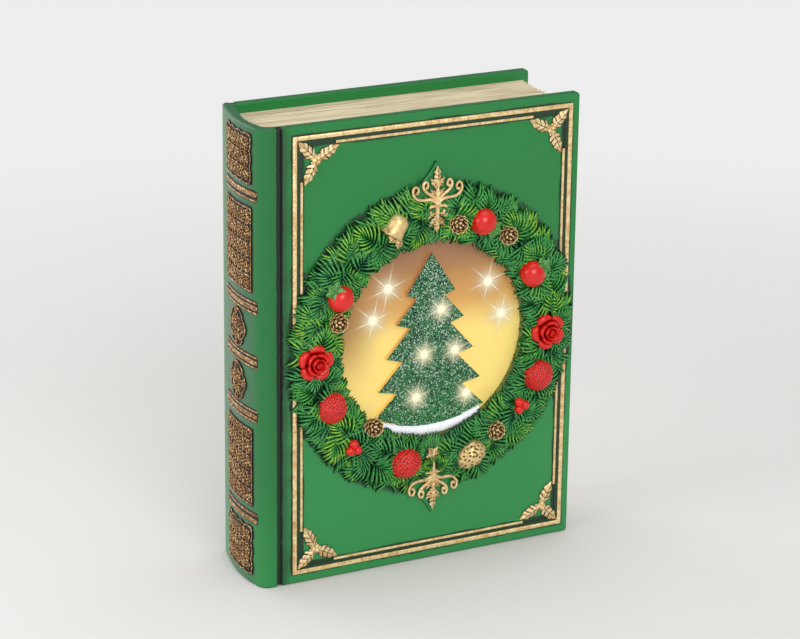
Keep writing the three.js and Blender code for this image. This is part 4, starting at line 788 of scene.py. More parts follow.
def wreath_ring():
    """The ring's section, a low arch from its inner to its outer edge, turned about y."""
    angle = np.linspace(0, 2 * math.pi, 120, endpoint=False)[:, None]
    arch = np.linspace(0, math.pi, 14)[None, :]
    radius = (ring_outer + ring_inner) / 2 - (ring_outer - ring_inner) / 2 * np.cos(arch)
    radius = radius + 0.5 * np.sin(angle * 23) * np.cos(arch / 2) ** 2
    forward = -ring_relief * np.sin(arch) ** 0.6
    points = together(radius * np.cos(angle), forward, middle_z + radius * np.sin(angle))
    # The ring's low ridge mark keeps it dark: paint and painted shade under the needles.
    return solid_rings(points[None], (0, 0.2, 0.46), loop=True)


def finial_pad(facing):
    """A low plate behind a finial: its flanks curve in from the ring to a point. The marks paint
    shade towards its edge."""
    t = np.linspace(0, 1, 30)[:, None]
    half_width = pad_half_width * (1 - t) ** 1.3 + 0.5
    rise = pad_root + (pad_tip - pad_root) * t
    arch = np.linspace(0, math.pi, 14)[None, :]
    forward = -pad_relief * np.sin(arch) ** 0.35
    points = together(-half_width * np.cos(arch), forward, middle_z + facing * rise)
    marks = np.zeros(points.shape)
    marks[..., 2] = 0.3 + 0.7 * np.clip((0.42 - np.sin(arch)) * 4, 0, 1)
    marks[-1] = 1
    return solid_rings(points[None], marks)


def needle_fans(x, z, heading, lift, tilt, size, tint):
    """Fans of needles. Each pair leaves the stem a step further from the root than the pair
    before and opens less, and every needle bends towards the stem's direction. Its section is
    an arch over a flat back, widest near the needle's middle and narrow at its two ends.
    Gives (fans, needles, rings, around, 3) points and marks of [along, tint, ridge]."""
    needle_count, ring_count = 13, 7
    pair = np.arange(needle_count) // 2
    side = np.where(np.arange(needle_count) % 2, -1.0, 1.0)
    side[-1] = 0
    start = 0.2 + 1.15 * pair
    reach = 8.8 - 0.5 * pair
    opening = side * np.radians(80 - 11.5 * pair)
    t = np.linspace(0, 1, ring_count)
    turn = opening[:, None] * (1 - 0.42 * t)
    step = reach[:, None] / (ring_count - 1)
    first = np.zeros((needle_count, 1))
    along = start[:, None] + np.concatenate([first, np.cumsum(np.cos(turn[:, 1:]) * step, 1)], 1)
    across = np.concatenate([first, np.cumsum(np.sin(turn[:, 1:]) * step, 1)], 1)
    base = 0.1 + 0.8 * np.sin(math.pi * np.clip(t * 0.8 + 0.1, 0, 1)) - 1.1 * t ** 3
    half = 0.6 * np.sin(math.pi * (0.14 + 0.74 * t)) ** 0.8 + 0.05
    arch = np.radians([180, 144, 108, 72, 36, 0])
    shape = together(
        along[..., None] - np.sin(turn)[..., None] * half[:, None] * np.cos(arch),
        across[..., None] + np.cos(turn)[..., None] * half[:, None] * np.cos(arch),
        base[:, None] + 2.7 * half[:, None] * np.sin(arch),
    )
    fans, around = len(x), len(arch)
    flat = np.broadcast_to(shape.reshape(1, -1, around, 3), (fans, needle_count * ring_count, around, 3))
    laid = lay(flat, x, z, heading, lift, tilt, size=size)
    laid = laid.reshape(fans, needle_count, ring_count, around, 3)
    numbers = np.zeros_like(laid)
    numbers[..., 0] = t[:, None]
    numbers[..., 1] = tint[:, None, None, None]
    # The ridge mark lightens each needle's top and darkens its flanks: paint, partly painted highlight
    # and painted shade.
    numbers[..., 2] = np.sin(arch) ** 1.2 * (0.4 + 0.6 * np.sin(math.pi * (0.08 + 0.8 * t)))[:, None]
    return laid, numbers


def middle_of(node):
    """The place of a node's middle seen from the front, as x and z."""
    low, high = (np.array(corner) * 1000 - book_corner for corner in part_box(node))
    return (low + high)[[0, 2]] / 2


ornament_reaches = {
    "golden_bell": 5.4, "apple_top": 5.9, "apple_right": 5.9, "apple_left": 5.9,
    "rose_left": 8.2, "rose_right": 8.2, "frosted_fruit_left": 6.0, "frosted_fruit_right": 6.0,
    "frosted_fruit_bottom": 6.0, "golden_nut": 5.4, "pine_cone_1": 3.6, "pine_cone_2": 3.6,
    "pine_cone_3": 3.6, "pine_cone_4": 3.6, "pine_cone_5": 3.6,
    "holly_berries_left": 2.6, "holly_berries_right": 2.6,
}
ornament_middles = {node: middle_of(node) for node in ornament_reaches}


def fan_rows():
    """Rows of fans round the ring. Each row has its own root radius, lean from outward, height,
    tilt and number of fans, and each fan its own small random turn and size. The innermost row
    is smaller, so it stays short of the window."""
    chance = np.random.default_rng(25)
    rows = []
    for radius, lean, lift, tilt, count in (
        (77.0, 6, 0.7, -3, 44), (74.0, -34, 1.8, -4, 36), (75.0, 40, 1.8, -4, 32),
        (61.5, 88, 0.6, -2, 34), (65.5, 184, 0.5, -3, 44), (69.0, 160, 1.4, -4, 36),
        (70.5, -140, 2.2, -5, 28),
        (69.0, -84, 3.2, -2, 26), (75.0, 92, 3.3, -2, 24), (73.0, 20, 3.5, -4, 24),
    ):
        angle = (np.arange(count) + chance.uniform(-0.3, 0.3, count)) * 360 / count + lean
        spread = radius + chance.uniform(-1.6, 1.6, count)
        row_size = 0.8 if radius < 66 else 1.1
        rows.append(np.stack([
            spread * np.cos(np.radians(angle)), middle_z + spread * np.sin(np.radians(angle)),
            angle + lean + chance.uniform(-14, 14, count), lift + chance.uniform(-0.3, 0.3, count),
            tilt + chance.uniform(-3, 3, count), chance.uniform(1.0, 1.35, count) * row_size,
            chance.uniform(0, 1, count),
        ]))
    return np.concatenate(rows, 1)


needle_inner, needle_outer, needle_side = 54.2, 91.5, fore_edge_x - 0.2


def fir_needles():
    """All the needles that are not inside an ornament and stay between the window and the
    book's edge. They lie flatter under the finials. Gives (needles, rings, around, 3) points
    and their marks."""
    laid, numbers = needle_fans(*fan_rows())
    needles = laid.reshape(-1, *laid.shape[2:])
    numbers = numbers.reshape(-1, *laid.shape[2:])
    spine = needles.mean(2)
    reach = np.hypot(spine[..., 0], spine[..., 2] - middle_z)
    kept = (reach.min(1) > needle_inner) & (reach.max(1) < needle_outer)
    kept &= needles[..., 0].max((1, 2)) < needle_side
    for node, (middle_x, middle_height) in ornament_middles.items():
        away = np.hypot(spine[..., 0] - middle_x, spine[..., 2] - middle_height)
        kept &= away.max(1) > ornament_reaches[node]
        if node.startswith("rose"):
            kept &= away.min(1) > ornament_reaches[node] * 0.8
    beside, over = np.abs(spine[..., 0]), np.abs(spine[..., 2] - middle_z)
    kept &= ~((beside < 16) & (over > 85)).any(1)
    under = np.clip((7 - np.abs(needles[..., 0])) / 3, 0, 1)
    under = np.maximum(under, np.clip((18 - np.abs(needles[..., 0])) / 3, 0, 1)
                       * np.clip((np.abs(needles[..., 2] - middle_z) - 76) / 3, 0, 1))
    needles[..., 1] = np.minimum(needles[..., 1], 0) * (1 - 0.5 * under)
    return needles[kept], numbers[kept]


needles, numbers = fir_needles()
dress(build_piece("wreath_base", [wreath_ring()]), fir, ["fir_wreath"])
dress(build_piece("finial_pads", [finial_pad(1), finial_pad(-1)]), lacquer)
for share in range(4):
    chosen = slice(share * len(needles) // 4, (share + 1) * len(needles) // 4)
    piece = build_piece(f"fir_needles_{share + 1}", [solid_rings(needles[chosen], numbers[chosen])])
    dress(piece, fir)

sprig_lift = 4.7
sprig_x, sprig_drop, sprig_heading, sprig_tilt, sprig_size, sprig_tint = np.transpose([
    (-1.0, 72.0, 176.0, -6.0, 0.62, 0.95), (1.5, 72.6, 6.0, -6.0, 0.72, 0.98),
    (0.5, 71.0, 60.0, 0.0, 0.42, 0.9),
])
sprigs = needle_fans(sprig_x, middle_z - sprig_drop, sprig_heading, sprig_lift, sprig_tilt,
                     sprig_size, sprig_tint)
sprig_points, sprig_marks = (part.reshape(-1, *part.shape[2:]) for part in sprigs)
dress(build_piece("finial_sprigs", [solid_rings(sprig_points, sprig_marks)]), fir)

# Fruit, roses and berries
# Each is a separate casting pushed into a hollow of the wreath: glossy red apples with a green
# calyx, red fruits with a pebbled skin, thick-petalled roses, and holly berries in threes.

red, place = new_finish("red_gloss_paint")
shade_share = marks_of(place)[2]
streak = cloud(place, 5, 3)
lay_on(red, {
    "Base Color": blend(shade_share, blend(streak, srgb(204, 10, 4), srgb(228, 26, 12)), srgb(92, 2, 4)),
    "Roughness": 0.26 + 0.14 * streak, "Coat Weight": 0.2, "Coat Roughness": 0.1,
    "Normal": relief(cloud(place, 2.2, 3), 0.12),
})

apple_green, place = new_finish("calyx_green")
vein = marks_of(place)[2]
leaf_green = blend(cloud(place, 1.5), srgb(58, 148, 64), srgb(120, 186, 84))
lay_on(apple_green, {
    "Base Color": blend(vein, leaf_green, srgb(14, 60, 34)),
    "Roughness": 0.4, "Normal": relief(cloud(place, 1.2), 0.1),
})


def apple_profile(fall):
    """An apple's outline by the angle from its calyx: a ball that dips in at both poles."""
    size = 1 - 0.16 * np.exp(-(fall / 0.36) ** 2) - 0.1 * np.exp(-((math.pi - fall) / 0.4) ** 2)
    return size * np.cos(fall) * 0.98, size * np.sin(fall)


apple_radius, calyx_reach = 7.55, 6.3
apple_turns = {"apple_top": (-40, 12), "apple_right": (35, 18), "apple_left": (130, 14)}
for node, (heading, tilt) in apple_turns.items():
    x, z = ornament_middles[node]
    apple = shallow(ball(apple_radius, x, z, 5.1, heading, tilt, apple_profile, rings=30, around=36))
    dress(build_piece(node + "_skin", [solid_rings(apple)]), red, [node])
    points, marks = veined_leaf(5.8, 2.7, 1.3, 2, 0.04, 4, 16, 9)
    leaf_x, leaf_z = away_from(x, z, calyx_reach, heading)
    leaves = [solid_rings(lay(points, leaf_x, leaf_z, heading + fan, 7.6, tilt_up), marks)
              for fan, tilt_up in ((8, 2), (66, -6), (-58, -6), (140, 24), (-130, 24))]
    dress(build_piece(node + "_calyx", leaves), apple_green)


def scattered(count, jitter=0.0):
    """Directions spread evenly over a ball: each is turned by the golden angle from the last,
    then pushed sideways by a random share of the distance between neighbours."""
    chance = np.random.default_rng(count)
    number = np.arange(count) + 0.5
    cosine = 1 - 2 * number / count
    turn = number * math.pi * (3 - math.sqrt(5))
    sine = np.sqrt(1 - cosine ** 2)
    even = together(cosine, sine * np.cos(turn), sine * np.sin(turn))
    pushed = even + chance.normal(0, jitter * 3.5 / math.sqrt(count), even.shape)
    return pushed / np.linalg.norm(pushed, axis=-1, keepdims=True)


def nearest_share(facing, seeds):
    """How close a direction is to its nearest seed: 1 on the seed, 0 between seeds."""
    near = np.arccos(np.clip((facing @ seeds.T).max(-1), -1, 1))
    return np.clip(1 - near / (2.1 / math.sqrt(len(seeds))), 0, 1)


frosted, place = new_finish("frosted_red")
pit = marks_of(place)[2]
sugar = cloud(place, 0.5, 3)
lay_on(frosted, {
    "Base Color": blend(pit, blend(sugar, srgb(210, 12, 4), srgb(236, 34, 16)), srgb(118, 4, 4)),
    "Roughness": 0.26 + 0.16 * sugar, "Normal": relief(sugar, 0.12), "Coat Weight": 0.12,
})

fruit_radius, bump_height = 8.1, 0.46
fruit_turns = {
    "frosted_fruit_left": (62, 24, 560, 0.26), "frosted_fruit_right": (62, 26, 640, 0.05),
    "frosted_fruit_bottom": (20, 22, 260, 0.0),
}
for node, (heading, tilt, bumps, taper) in fruit_turns.items():
    x, z = ornament_middles[node]
    facing = directions(120, 170)
    bump = nearest_share(facing, scattered(bumps, 0.13))
    forward = np.clip(facing[..., :1], 0, 1)
    across = 1 - taper * forward ** 2 - 0.1 * forward ** 8
    egg = fruit_radius * facing * np.concatenate([1.1 + 0.04 * forward, across, across], -1)
    bumps_out = bump_height * facing * np.sqrt(bump)[..., None]
    skin = lay((egg + bumps_out)[None], x, z, heading, 4.0, tilt)
    numbers = np.zeros(skin.shape)
    numbers[..., 2] = 0.9 * (1 - np.clip(bump * 2.6, 0, 1))
    piece = build_piece(node + "_skin", [solid_rings(shallow(skin), numbers)])
    dress(piece, frosted, [node])


def petal(radius, height, half_angle, thick, tall, lean):
    """A rose petal about the flower's middle: a fat bead along an arc, oval in section, whose
    upper edge leans outwards. It thins out to rounded ends that turn in. The marks paint shade
    towards its foot."""
    u = np.linspace(-1, 1, 20)[:, None]
    v = np.linspace(0, 2 * math.pi, 16, endpoint=False)[None, :]
    angle = math.radians(half_angle) * u
    swell = np.clip(1 - u ** 2, 0.002, 1) ** 0.42
    across = thick * swell * np.cos(v)
    upward = tall * swell ** 0.7 * np.sin(v)
    out = radius * (1 - 0.1 * u ** 2) + across * math.cos(lean) + upward * math.sin(lean)
    up = height + upward * math.cos(lean) - across * math.sin(lean)
    points = together(out * np.cos(angle), out * np.sin(angle), up)
    marks = np.zeros(points.shape)
    marks[..., 2] = np.clip(0.55 - 0.75 * np.sin(v), 0, 0.9)
    return points[None], marks[None]


rose_rows = (
    (5, 7.8, 3.9, 37, 2.5, 3.4, 0.55, 0), (4, 4.9, 5.9, 48, 1.3, 3.5, 0.34, 32),
    (3, 2.95, 7.3, 66, 0.85, 3.4, 0.16, 0), (2, 1.3, 8.2, 100, 0.6, 3.0, 0.0, 20),
)
for node, spin in (("rose_left", 12), ("rose_right", 40)):
    x, z = ornament_middles[node]
    parts = []
    for count, radius, height, half_angle, thick, tall, lean, offset in rose_rows:
        points, numbers = petal(radius, height, half_angle, thick, tall, lean)
        turns = spin + offset + np.arange(count) * 360 / count
        bodies = lay(np.repeat(points, count, 0), x, z, turns)
        parts.append(solid_rings(bodies, np.repeat(numbers, count, 0)))
    # The dark red ball under the petals is painted shade between them.
    parts.append(solid_rings(shallow(ball(6.0, x, z, 1.4, rings=14, around=24)), (0, 0, 0.9)))
    parts.append(solid_rings(shallow(ball(0.9, x, z, 9.9, rings=10, around=12)), (0, 0, 0.3)))
    dress(build_piece(node + "_petals", parts), red, [node])

berry_radius, berry_spread = 2.65, 2.45
for node, spin in (("holly_berries_left", 0), ("holly_berries_right", 30)):
    x, z = ornament_middles[node]
    parts = []
    for turn in (90 + spin, 210 + spin, 330 + spin):
        berry_x, berry_z = away_from(x, z, berry_spread, turn)
        berry = ball(berry_radius, berry_x, berry_z, 7.1, rings=16, around=22)
        parts.append(solid_rings(shallow(berry)))
    dress(build_piece(node + "_fruit", parts), red, [node])

# Gilt nut, cones and bell
# The nut is a gilt egg with a pitted skin. The cones are brown with gilt on the rims of their
# scales. The bell is satin gold, with three toothed leaves and three berries at its mouth.

bright, place = new_finish("bright_gold_paint")
hollow = marks_of(place)[2]
satin = cloud(place, 2.4, 4)
lay_on(bright, {
    "Base Color": blend(hollow, blend(satin, srgb(200, 160, 90), srgb(252, 228, 168)), srgb(58, 40, 18)),
    "Metallic": 0.6 - 0.5 * hollow, "Roughness": 0.28 + 0.2 * satin,
    "Normal": relief(satin, 0.12),
})

nut_radius, nut_stretch = 7.1, 1.32
nut_x, nut_z = ornament_middles["golden_nut"]
nut_facing = directions(110, 150)
pits = np.clip(nearest_share(nut_facing, scattered(150, 0.3)) * 2.4 - 1.0, 0, 1)
lumps = nearest_share(nut_facing, scattered(60, 0.35))
nut_egg = nut_facing * nut_radius * (nut_stretch, 1, 1)
nut_shape = nut_egg + nut_facing * (0.6 * lumps - 0.5 * pits)[..., None]
nut_marks = np.zeros((1, *nut_shape.shape))
nut_marks[0, ..., 2] = np.clip(pits * 1.7, 0, 1)
nut_shell = solid_rings(shallow(lay(nut_shape[None], nut_x, nut_z, 30, 4.2, 8)), nut_marks)
dress(build_piece("golden_nut_shell", [nut_shell]), bright, ["golden_nut"])

bark, place = new_finish("cone_paint")
along, _, rim = marks_of(place)
wear = cloud(place, 1.3, 3)
gilded = climb(rim + 0.7 * (wear - 0.5), 0.3, 0.7)
lay_on(bark, {
    "Base Color": blend(gilded, blend(along, srgb(70, 46, 26), srgb(158, 114, 66)), srgb(248, 218, 156)),
    "Metallic": 0.6 * gilded, "Roughness": 0.42, "Normal": relief(wear, 0.15),
})


def cone_scales(x, z, radius, lift, count=58):
    """Scales on a ball that faces the viewer. Each is a short blunt leaf that starts inside
    the ball at its own spiral place and leans out of it, towards the cone's tip."""
    seeds = scattered(count)
    seeds = seeds[seeds[:, 0] > -0.45]
    fall = np.arccos(seeds[:, 0])
    turn = np.arctan2(seeds[:, 2], seeds[:, 1])
    t = np.linspace(0, 1, 6)[None, :, None]
    v = np.linspace(0, 2 * math.pi, 8, endpoint=False)[None, None, :]
    lean = fall[:, None, None] + 0.18 - 0.3 * t
    reach = radius * (0.72 + 0.34 * t ** 1.2)
    swelling = np.sin(math.pi * (0.22 + 0.68 * t))
    half = radius * 0.31 * swelling * (0.5 + 0.5 * np.sin(fall)[:, None, None])
    thick = half * 0.42
    sideways = half * np.cos(v)
    upward = thick * np.sin(v)
    out = reach * np.sin(lean) + upward * np.cos(lean)
    front = reach * np.cos(lean) - upward * np.sin(lean)
    spin = turn[:, None, None]
    points = together(
        x + out * np.cos(spin) - sideways * np.sin(spin), -(lift + front),
        z + out * np.sin(spin) + sideways * np.cos(spin),
    )
    marks = np.zeros(points.shape)
    marks[..., 0] = np.broadcast_to(t, points.shape[:3])
    marks[..., 2] = np.broadcast_to(t ** 2.2, points.shape[:3])
    return solid_rings(points, marks)


cone_radius, core_radius = 5.3, 4.3
for number in range(1, 6):
    node = f"pine_cone_{number}"
    x, z = ornament_middles[node]
    core = shallow(ball(core_radius, x, z, 5.2, rings=14, around=18))
    parts = [solid_rings(core), cone_scales(x, z, cone_radius, 5.3)]
    dress(build_piece(node + "_scales", parts), bark, [node])

bell_x, bell_z = ornament_middles["golden_bell"]
bell_heading, bell_length, bell_radius, bell_lip = 58.0, 12.4, 6.5, -5.6


def bell_body():
    """The bell's wall turned about its axis: down the inside to the lip, then up the outside
    to the crown."""
    outside_shares = np.array([
        [0.0, 1.07], [0.02, 1.08], [0.06, 1.03], [0.14, 0.95], [0.3, 0.91], [0.48, 0.89],
        [0.64, 0.88], [0.76, 0.83], [0.86, 0.72], [0.94, 0.52], [0.985, 0.25], [1.0, 0.02],
    ])
    share = np.linspace(0, 1, 40)
    known = np.linspace(0, 1, len(outside_shares))
    along = np.interp(share, known, outside_shares[:, 0]) * bell_length + bell_lip
    radius = np.interp(share, known, outside_shares[:, 1]) * bell_radius
    within_along = np.array([3.2, 0.8, -3.0, -5.4])
    within_radius = np.array([0.02, 4.2, 5.2, 6.0])
    along = np.concatenate([within_along, along])
    radius = np.concatenate([within_radius, radius])
    turn = np.linspace(0, 2 * math.pi, 40, endpoint=False)
    points = together(along[:, None], radius[:, None] * np.cos(turn), radius[:, None] * np.sin(turn))
    return shallow(lay(points[None], bell_x - 0.6, bell_z + 0.6, bell_heading, 5.5))


parts = [solid_rings(bell_body())]
turn = math.radians(bell_heading)
to_crown = np.array([math.cos(turn), math.sin(turn)])
to_left = np.array([-math.sin(turn), math.cos(turn)])
mouth = ornament_middles["golden_bell"] - 4.9 * to_crown
for sideways, heading, length, half_width in (
    (3.8, 132, 5.2, 2.2), (-3.2, 256, 5.4, 2.8), (0.6, 226, 4.4, 2.0),
):
    points, marks = veined_leaf(length, half_width, 1.3, 3, 0.3, 4, 18, 9)
    root_x, root_z = mouth + sideways * to_left
    parts.append(solid_rings(lay(points, root_x, root_z, heading, 8.8, -6), marks))
for away, sideways in ((1.4, 2.2), (2.4, 0.0), (1.2, -2.0)):
    berry_x, berry_z = mouth - away * to_crown + sideways * to_left
    parts.append(solid_rings(shallow(ball(1.35, berry_x, berry_z, 8.2, rings=12, around=16))))
dress(build_piece("golden_bell_shell", parts), bright, ["golden_bell"])

# Finials
# A gilt scrolled finial lies on each pad of the wreath: three pairs of tapering scrolls that end
# in beads, a toothed leaf at the tip with two pairs of smaller ones under it, and at the foot
# a spray of leaves on the upper finial and a star of five on the lower one.

finial_root, finial_length, finial_half_width, finial_lift = 62.0, 37.5, 15.3, 2.5
scroll_shares = (
    ((0, 0.43), (0.13, 0.478), (0.32, 0.51), (0.56, 0.51), (0.79, 0.53), (0.93, 0.58), (0.985, 0.65),
     (0.93, 0.71), (0.82, 0.712), (0.76, 0.665), (0.8, 0.615), (0.87, 0.63)),
    ((0, 0.44), (0.09, 0.51), (0.25, 0.57), (0.42, 0.615), (0.545, 0.67), (0.575, 0.73), (0.51, 0.775),
     (0.42, 0.765), (0.385, 0.715), (0.43, 0.68), (0.48, 0.7)),
    ((0, 0.4), (0.13, 0.4), (0.28, 0.395), (0.41, 0.36), (0.445, 0.3), (0.38, 0.25), (0.28, 0.25),
     (0.245, 0.295), (0.3, 0.33)),
)


def through(points, steps):
    """A smooth line through points: between two of them, a cubic whose slope at each is half
    the way from the point before to the point after."""
    known = np.array(points, float)
    padded = np.concatenate([2 * known[:1] - known[1:2], known, 2 * known[-1:] - known[-2:-1]])
    place = np.linspace(0, len(known) - 1, steps)
    index = np.minimum(place.astype(int), len(known) - 2)
    s = (place - index)[:, None]
    before, first, second, after = (padded[index + k] for k in range(4))
    bend = 2 * before - 5 * first + 4 * second - after
    rest = 3 * (first - second) + after - before
    return 0.5 * (2 * first + (second - before) * s + bend * s ** 2 + rest * s ** 3)


def bead(path, half_width, height, foot=0.0, loop=False, around=9):
    """A rounded bead along flat paths of (bodies, rings, 2): the section is an arch over its
    own width, closed by a straight base. Gives (bodies, rings, around, 3) points as across,
    up and lift, with marks that darken towards the base."""
    before = np.roll(path, 1, 1) if loop else np.concatenate([path[:, :1], path[:, :-1]], 1)
    after = np.roll(path, -1, 1) if loop else np.concatenate([path[:, 1:], path[:, -1:]], 1)
    along = after - before
    along = along / np.maximum(np.linalg.norm(along, axis=-1, keepdims=True), 1e-9)
    normal = together(-along[..., 1], along[..., 0])
    arch = np.linspace(0, math.pi, around)
    width = np.broadcast_to(half_width, path.shape[:2])[..., None]
    tall = np.broadcast_to(height, path.shape[:2])[..., None]
    side = -np.cos(arch) * width
    flat = path[:, :, None] + normal[:, :, None] * side[..., None]
    lift = foot + np.sin(arch) ** 0.75 * tall
    points = np.concatenate([flat, lift[..., None]], -1)
    marks = np.zeros(points.shape)
    marks[..., 2] = (1 - np.sin(arch)) ** 1.6
    return points, marks


def on_board(points, facing):
    """Turns (across, up, height) to the book's frame, upside down for the lower finial."""
    across, up, height = (points[..., axis] for axis in range(3))
    return together(facing * across, -(finial_lift + height), middle_z + facing * up)


def finial(facing):
    """The scrolls, the stem and the leaves of one finial."""
    parts = []
    taper = np.concatenate([np.linspace(1.15, 0.66, 48), np.linspace(0.7, 1.1, 6)])
    for shares in scroll_shares:
        for side in (1, -1):
            knots = np.array(shares) * (side * finial_half_width, finial_length) + (0, finial_root)
            line = through(knots, 54)
            points, marks = bead(line[None], 0.92 * taper, 1.8 * taper ** 0.5)
            parts.append(solid_rings(on_board(points, facing), marks))
    stem = together(0.0, finial_root + finial_length * np.linspace(0.06, 0.8, 24))
    points, marks = bead(stem[None], 1.0 + 0.35 * np.cos(np.linspace(0, 3 * math.pi, 24)) ** 2, 2.1)
    parts.append(solid_rings(on_board(points, facing), marks))
    knot_z = middle_z + facing * (finial_root + finial_length * 0.44)
    parts.append(solid_rings(ball(1.8, 0.0, knot_z, 3.9, rings=14, around=18)))
    leaves = [
        (0.69, 90, 11.6, 3.0, 3, 0.4), (0.66, 56, 7.4, 2.0, 2, 0.35),
        (0.66, 124, 7.4, 2.0, 2, 0.35), (0.54, 46, 6.2, 1.6, 2, 0.35),
        (0.54, 134, 6.2, 1.6, 2, 0.35),
    ]
    if facing > 0:
        leaves += [
            (0.24, -90, 9.0, 2.7, 3, 0.3), (0.26, -52, 8.4, 1.7, 2, 0.3),
            (0.26, -128, 8.4, 1.7, 2, 0.3), (0.3, -18, 7.4, 1.4, 2, 0.3),
            (0.3, -162, 6.4, 1.4, 2, 0.3),
        ]
    else:
        leaves += [(0.12, heading, 4.9, 2.0, 2, 0.25) for heading in (90, 162, 234, 306, 18)]
    for along, heading, length, half, teeth, depth in leaves:
        points, marks = veined_leaf(length, half, 1.7, teeth, depth, teeth + 2, 26, 9)
        turned = heading if facing > 0 else heading + 180
        root_z = middle_z + facing * (finial_root + along * finial_length)
        parts.append(solid_rings(lay(points, 0.0, root_z, turned, finial_lift + 0.1), marks))
    return parts


for half, facing in (("top", 1), ("bottom", -1)):
    dress(build_piece(f"gilt_finial_{half}", finial(facing)), gilt, [f"fleuron_{half}"])

# Spine relief
# Five bands of two or three beads, four panels of scrolled vine work and two pointed medallions
# are cast on the spine's crown. They are brushed with coppery gold over a near-black ground.

antique, place = new_finish("antique_gold_paint")
ground = marks_of(place)[2]
worn = cloud(place, 2.2, 4)
speck = cloud(place, 0.5, 2)
glint = climb(cell_share(grains(place, 1.1, "Color"), "Red"), 0.72, 0.8)
copper = blend(climb(worn * 0.5 + 0.7 * speck, 0.42, 0.78), srgb(80, 50, 28), srgb(182, 132, 80))
copper = blend(glint * 0.62, copper, srgb(252, 218, 156))
dark = climb(ground + 0.5 * (speck - 0.5), 0.16, 0.5)
lay_on(antique, {
    "Base Color": blend(dark, copper, srgb(20, 15, 9)), "Metallic": 0.5 - 0.5 * dark,
    "Roughness": 0.3 + 0.2 * worn, "Normal": relief(speck * 0.6 + worn * 0.4, 0.14),
})

crown_front, crown_back, crown_x, crown_rise = 6.0, 36.0, -104.0, 1.5
shoulder_x = -97.0
shoulder_slope = 4 * crown_rise / (crown_back - crown_front)


def spine_x(y):
    """The spine's plan: a parabola over the crown, and a quadratic curve round each shoulder
    that leaves the crown in its own direction and meets the board square on."""
    s = np.clip((y - crown_front) / (crown_back - crown_front), 0, 1)
    crown = crown_x - 4 * crown_rise * s * (1 - s)
    front = np.sqrt(np.clip(y / crown_front, 0, 1))
    control = crown_x + shoulder_slope * crown_front
    front_x = (1 - front) ** 2 * shoulder_x + 2 * front * (1 - front) * control + front ** 2 * crown_x
    back = np.sqrt(np.clip((book_back - y) / (book_back - crown_back), 0, 1))
    control = crown_x + shoulder_slope * (book_back - crown_back)
    back_x = (1 - back) ** 2 * shoulder_x + 2 * back * (1 - back) * control + back ** 2 * crown_x
    return np.where(y < crown_front, front_x, np.where(y > crown_back, back_x, crown))


def on_spine(points):
    """Lays (y, z, lift) on the spine: lift is measured square to the plan's curve."""
    y, z, lift = points[..., 0], points[..., 1], points[..., 2]
    slope = (spine_x(y + 0.05) - spine_x(y - 0.05)) / 0.1
    long = np.sqrt(1 + slope ** 2)
    return together(spine_x(y) - lift / long, y + lift * slope / long, middle_z + z)


wide_on_top = ((1.35, 1.5, 1.15), (-2.2, 0.7, 0.85))
wide_between = ((2.85, 0.6, 0.85), (0.0, 1.5, 1.15), (-2.85, 0.6, 0.85))
wide_below = ((2.2, 0.7, 0.85), (-1.35, 1.5, 1.15))
band_front, band_back = 4.6, 45.8


def spine_band(rise, beads):
    """Beads of [height offset, half width, relief] side by side, their ends rounded off, on a
    thin dark strip."""
    y = band_front + (band_back - band_front) * (1 - np.cos(np.linspace(0, math.pi, 60))) / 2
    short_of_end = np.clip(1 - np.minimum(y - band_front, band_back - y) / 1.6, 0, 1)
    end = np.sqrt(np.clip(1 - short_of_end ** 2, 0.02, 1))
    parts = []
    for offset, half_width, height in beads:
        path = together(y, rise + offset)
        points, marks = bead(path[None], half_width * (0.4 + 0.6 * end), height * end)
        parts.append(solid_rings(on_spine(points), marks))
    half_strip = 0.55 + max(offset + half_width for offset, half_width, _ in beads)
    points, _ = bead(together(y, rise)[None], half_strip * (0.6 + 0.4 * end), 0.3)
    parts.append(solid_rings(on_spine(points), np.ones(3)))
    return parts


bands = (
    (92.5, wide_on_top), (30.8, wide_between), (0.0, wide_between), (-30.8, wide_between),
    (-90.2, wide_below),
)
for number, (rise, beads) in enumerate(bands, 1):
    dress(build_piece(f"gold_band_{number}", spine_band(rise, beads)), antique,
          [f"spine_band_{number}"])


def spirals(centres, radius, start, hand, turns=1.55, rings=26):
    """Scrolls that wind inwards: the radius falls with the angle turned. Hand is 1 or -1."""
    s = np.linspace(0, 1, rings)
    angle = np.radians(start)[:, None] + hand[:, None] * s * turns * 2 * math.pi
    reach = radius * (1 - 0.86 * s ** 0.9)
    return centres[:, None] + together(reach * np.cos(angle), reach * np.sin(angle))


def drop_leaves(centres, heading, length, half_width):
    """Small pointed leaves as beads whose half width is a sine hump."""
    s = np.linspace(0, 1, 10)
    turn = np.radians(heading)[:, None]
    bend = turn + 0.7 * (s - 0.5)
    path = centres[:, None] + length * s[:, None] * together(np.cos(bend), np.sin(bend))
    width = half_width * np.sin(math.pi * (0.06 + 0.88 * s)) ** 0.8
    points, marks = bead(path, width, 0.62, 0.5, around=7)
    return solid_rings(on_spine(points), marks)


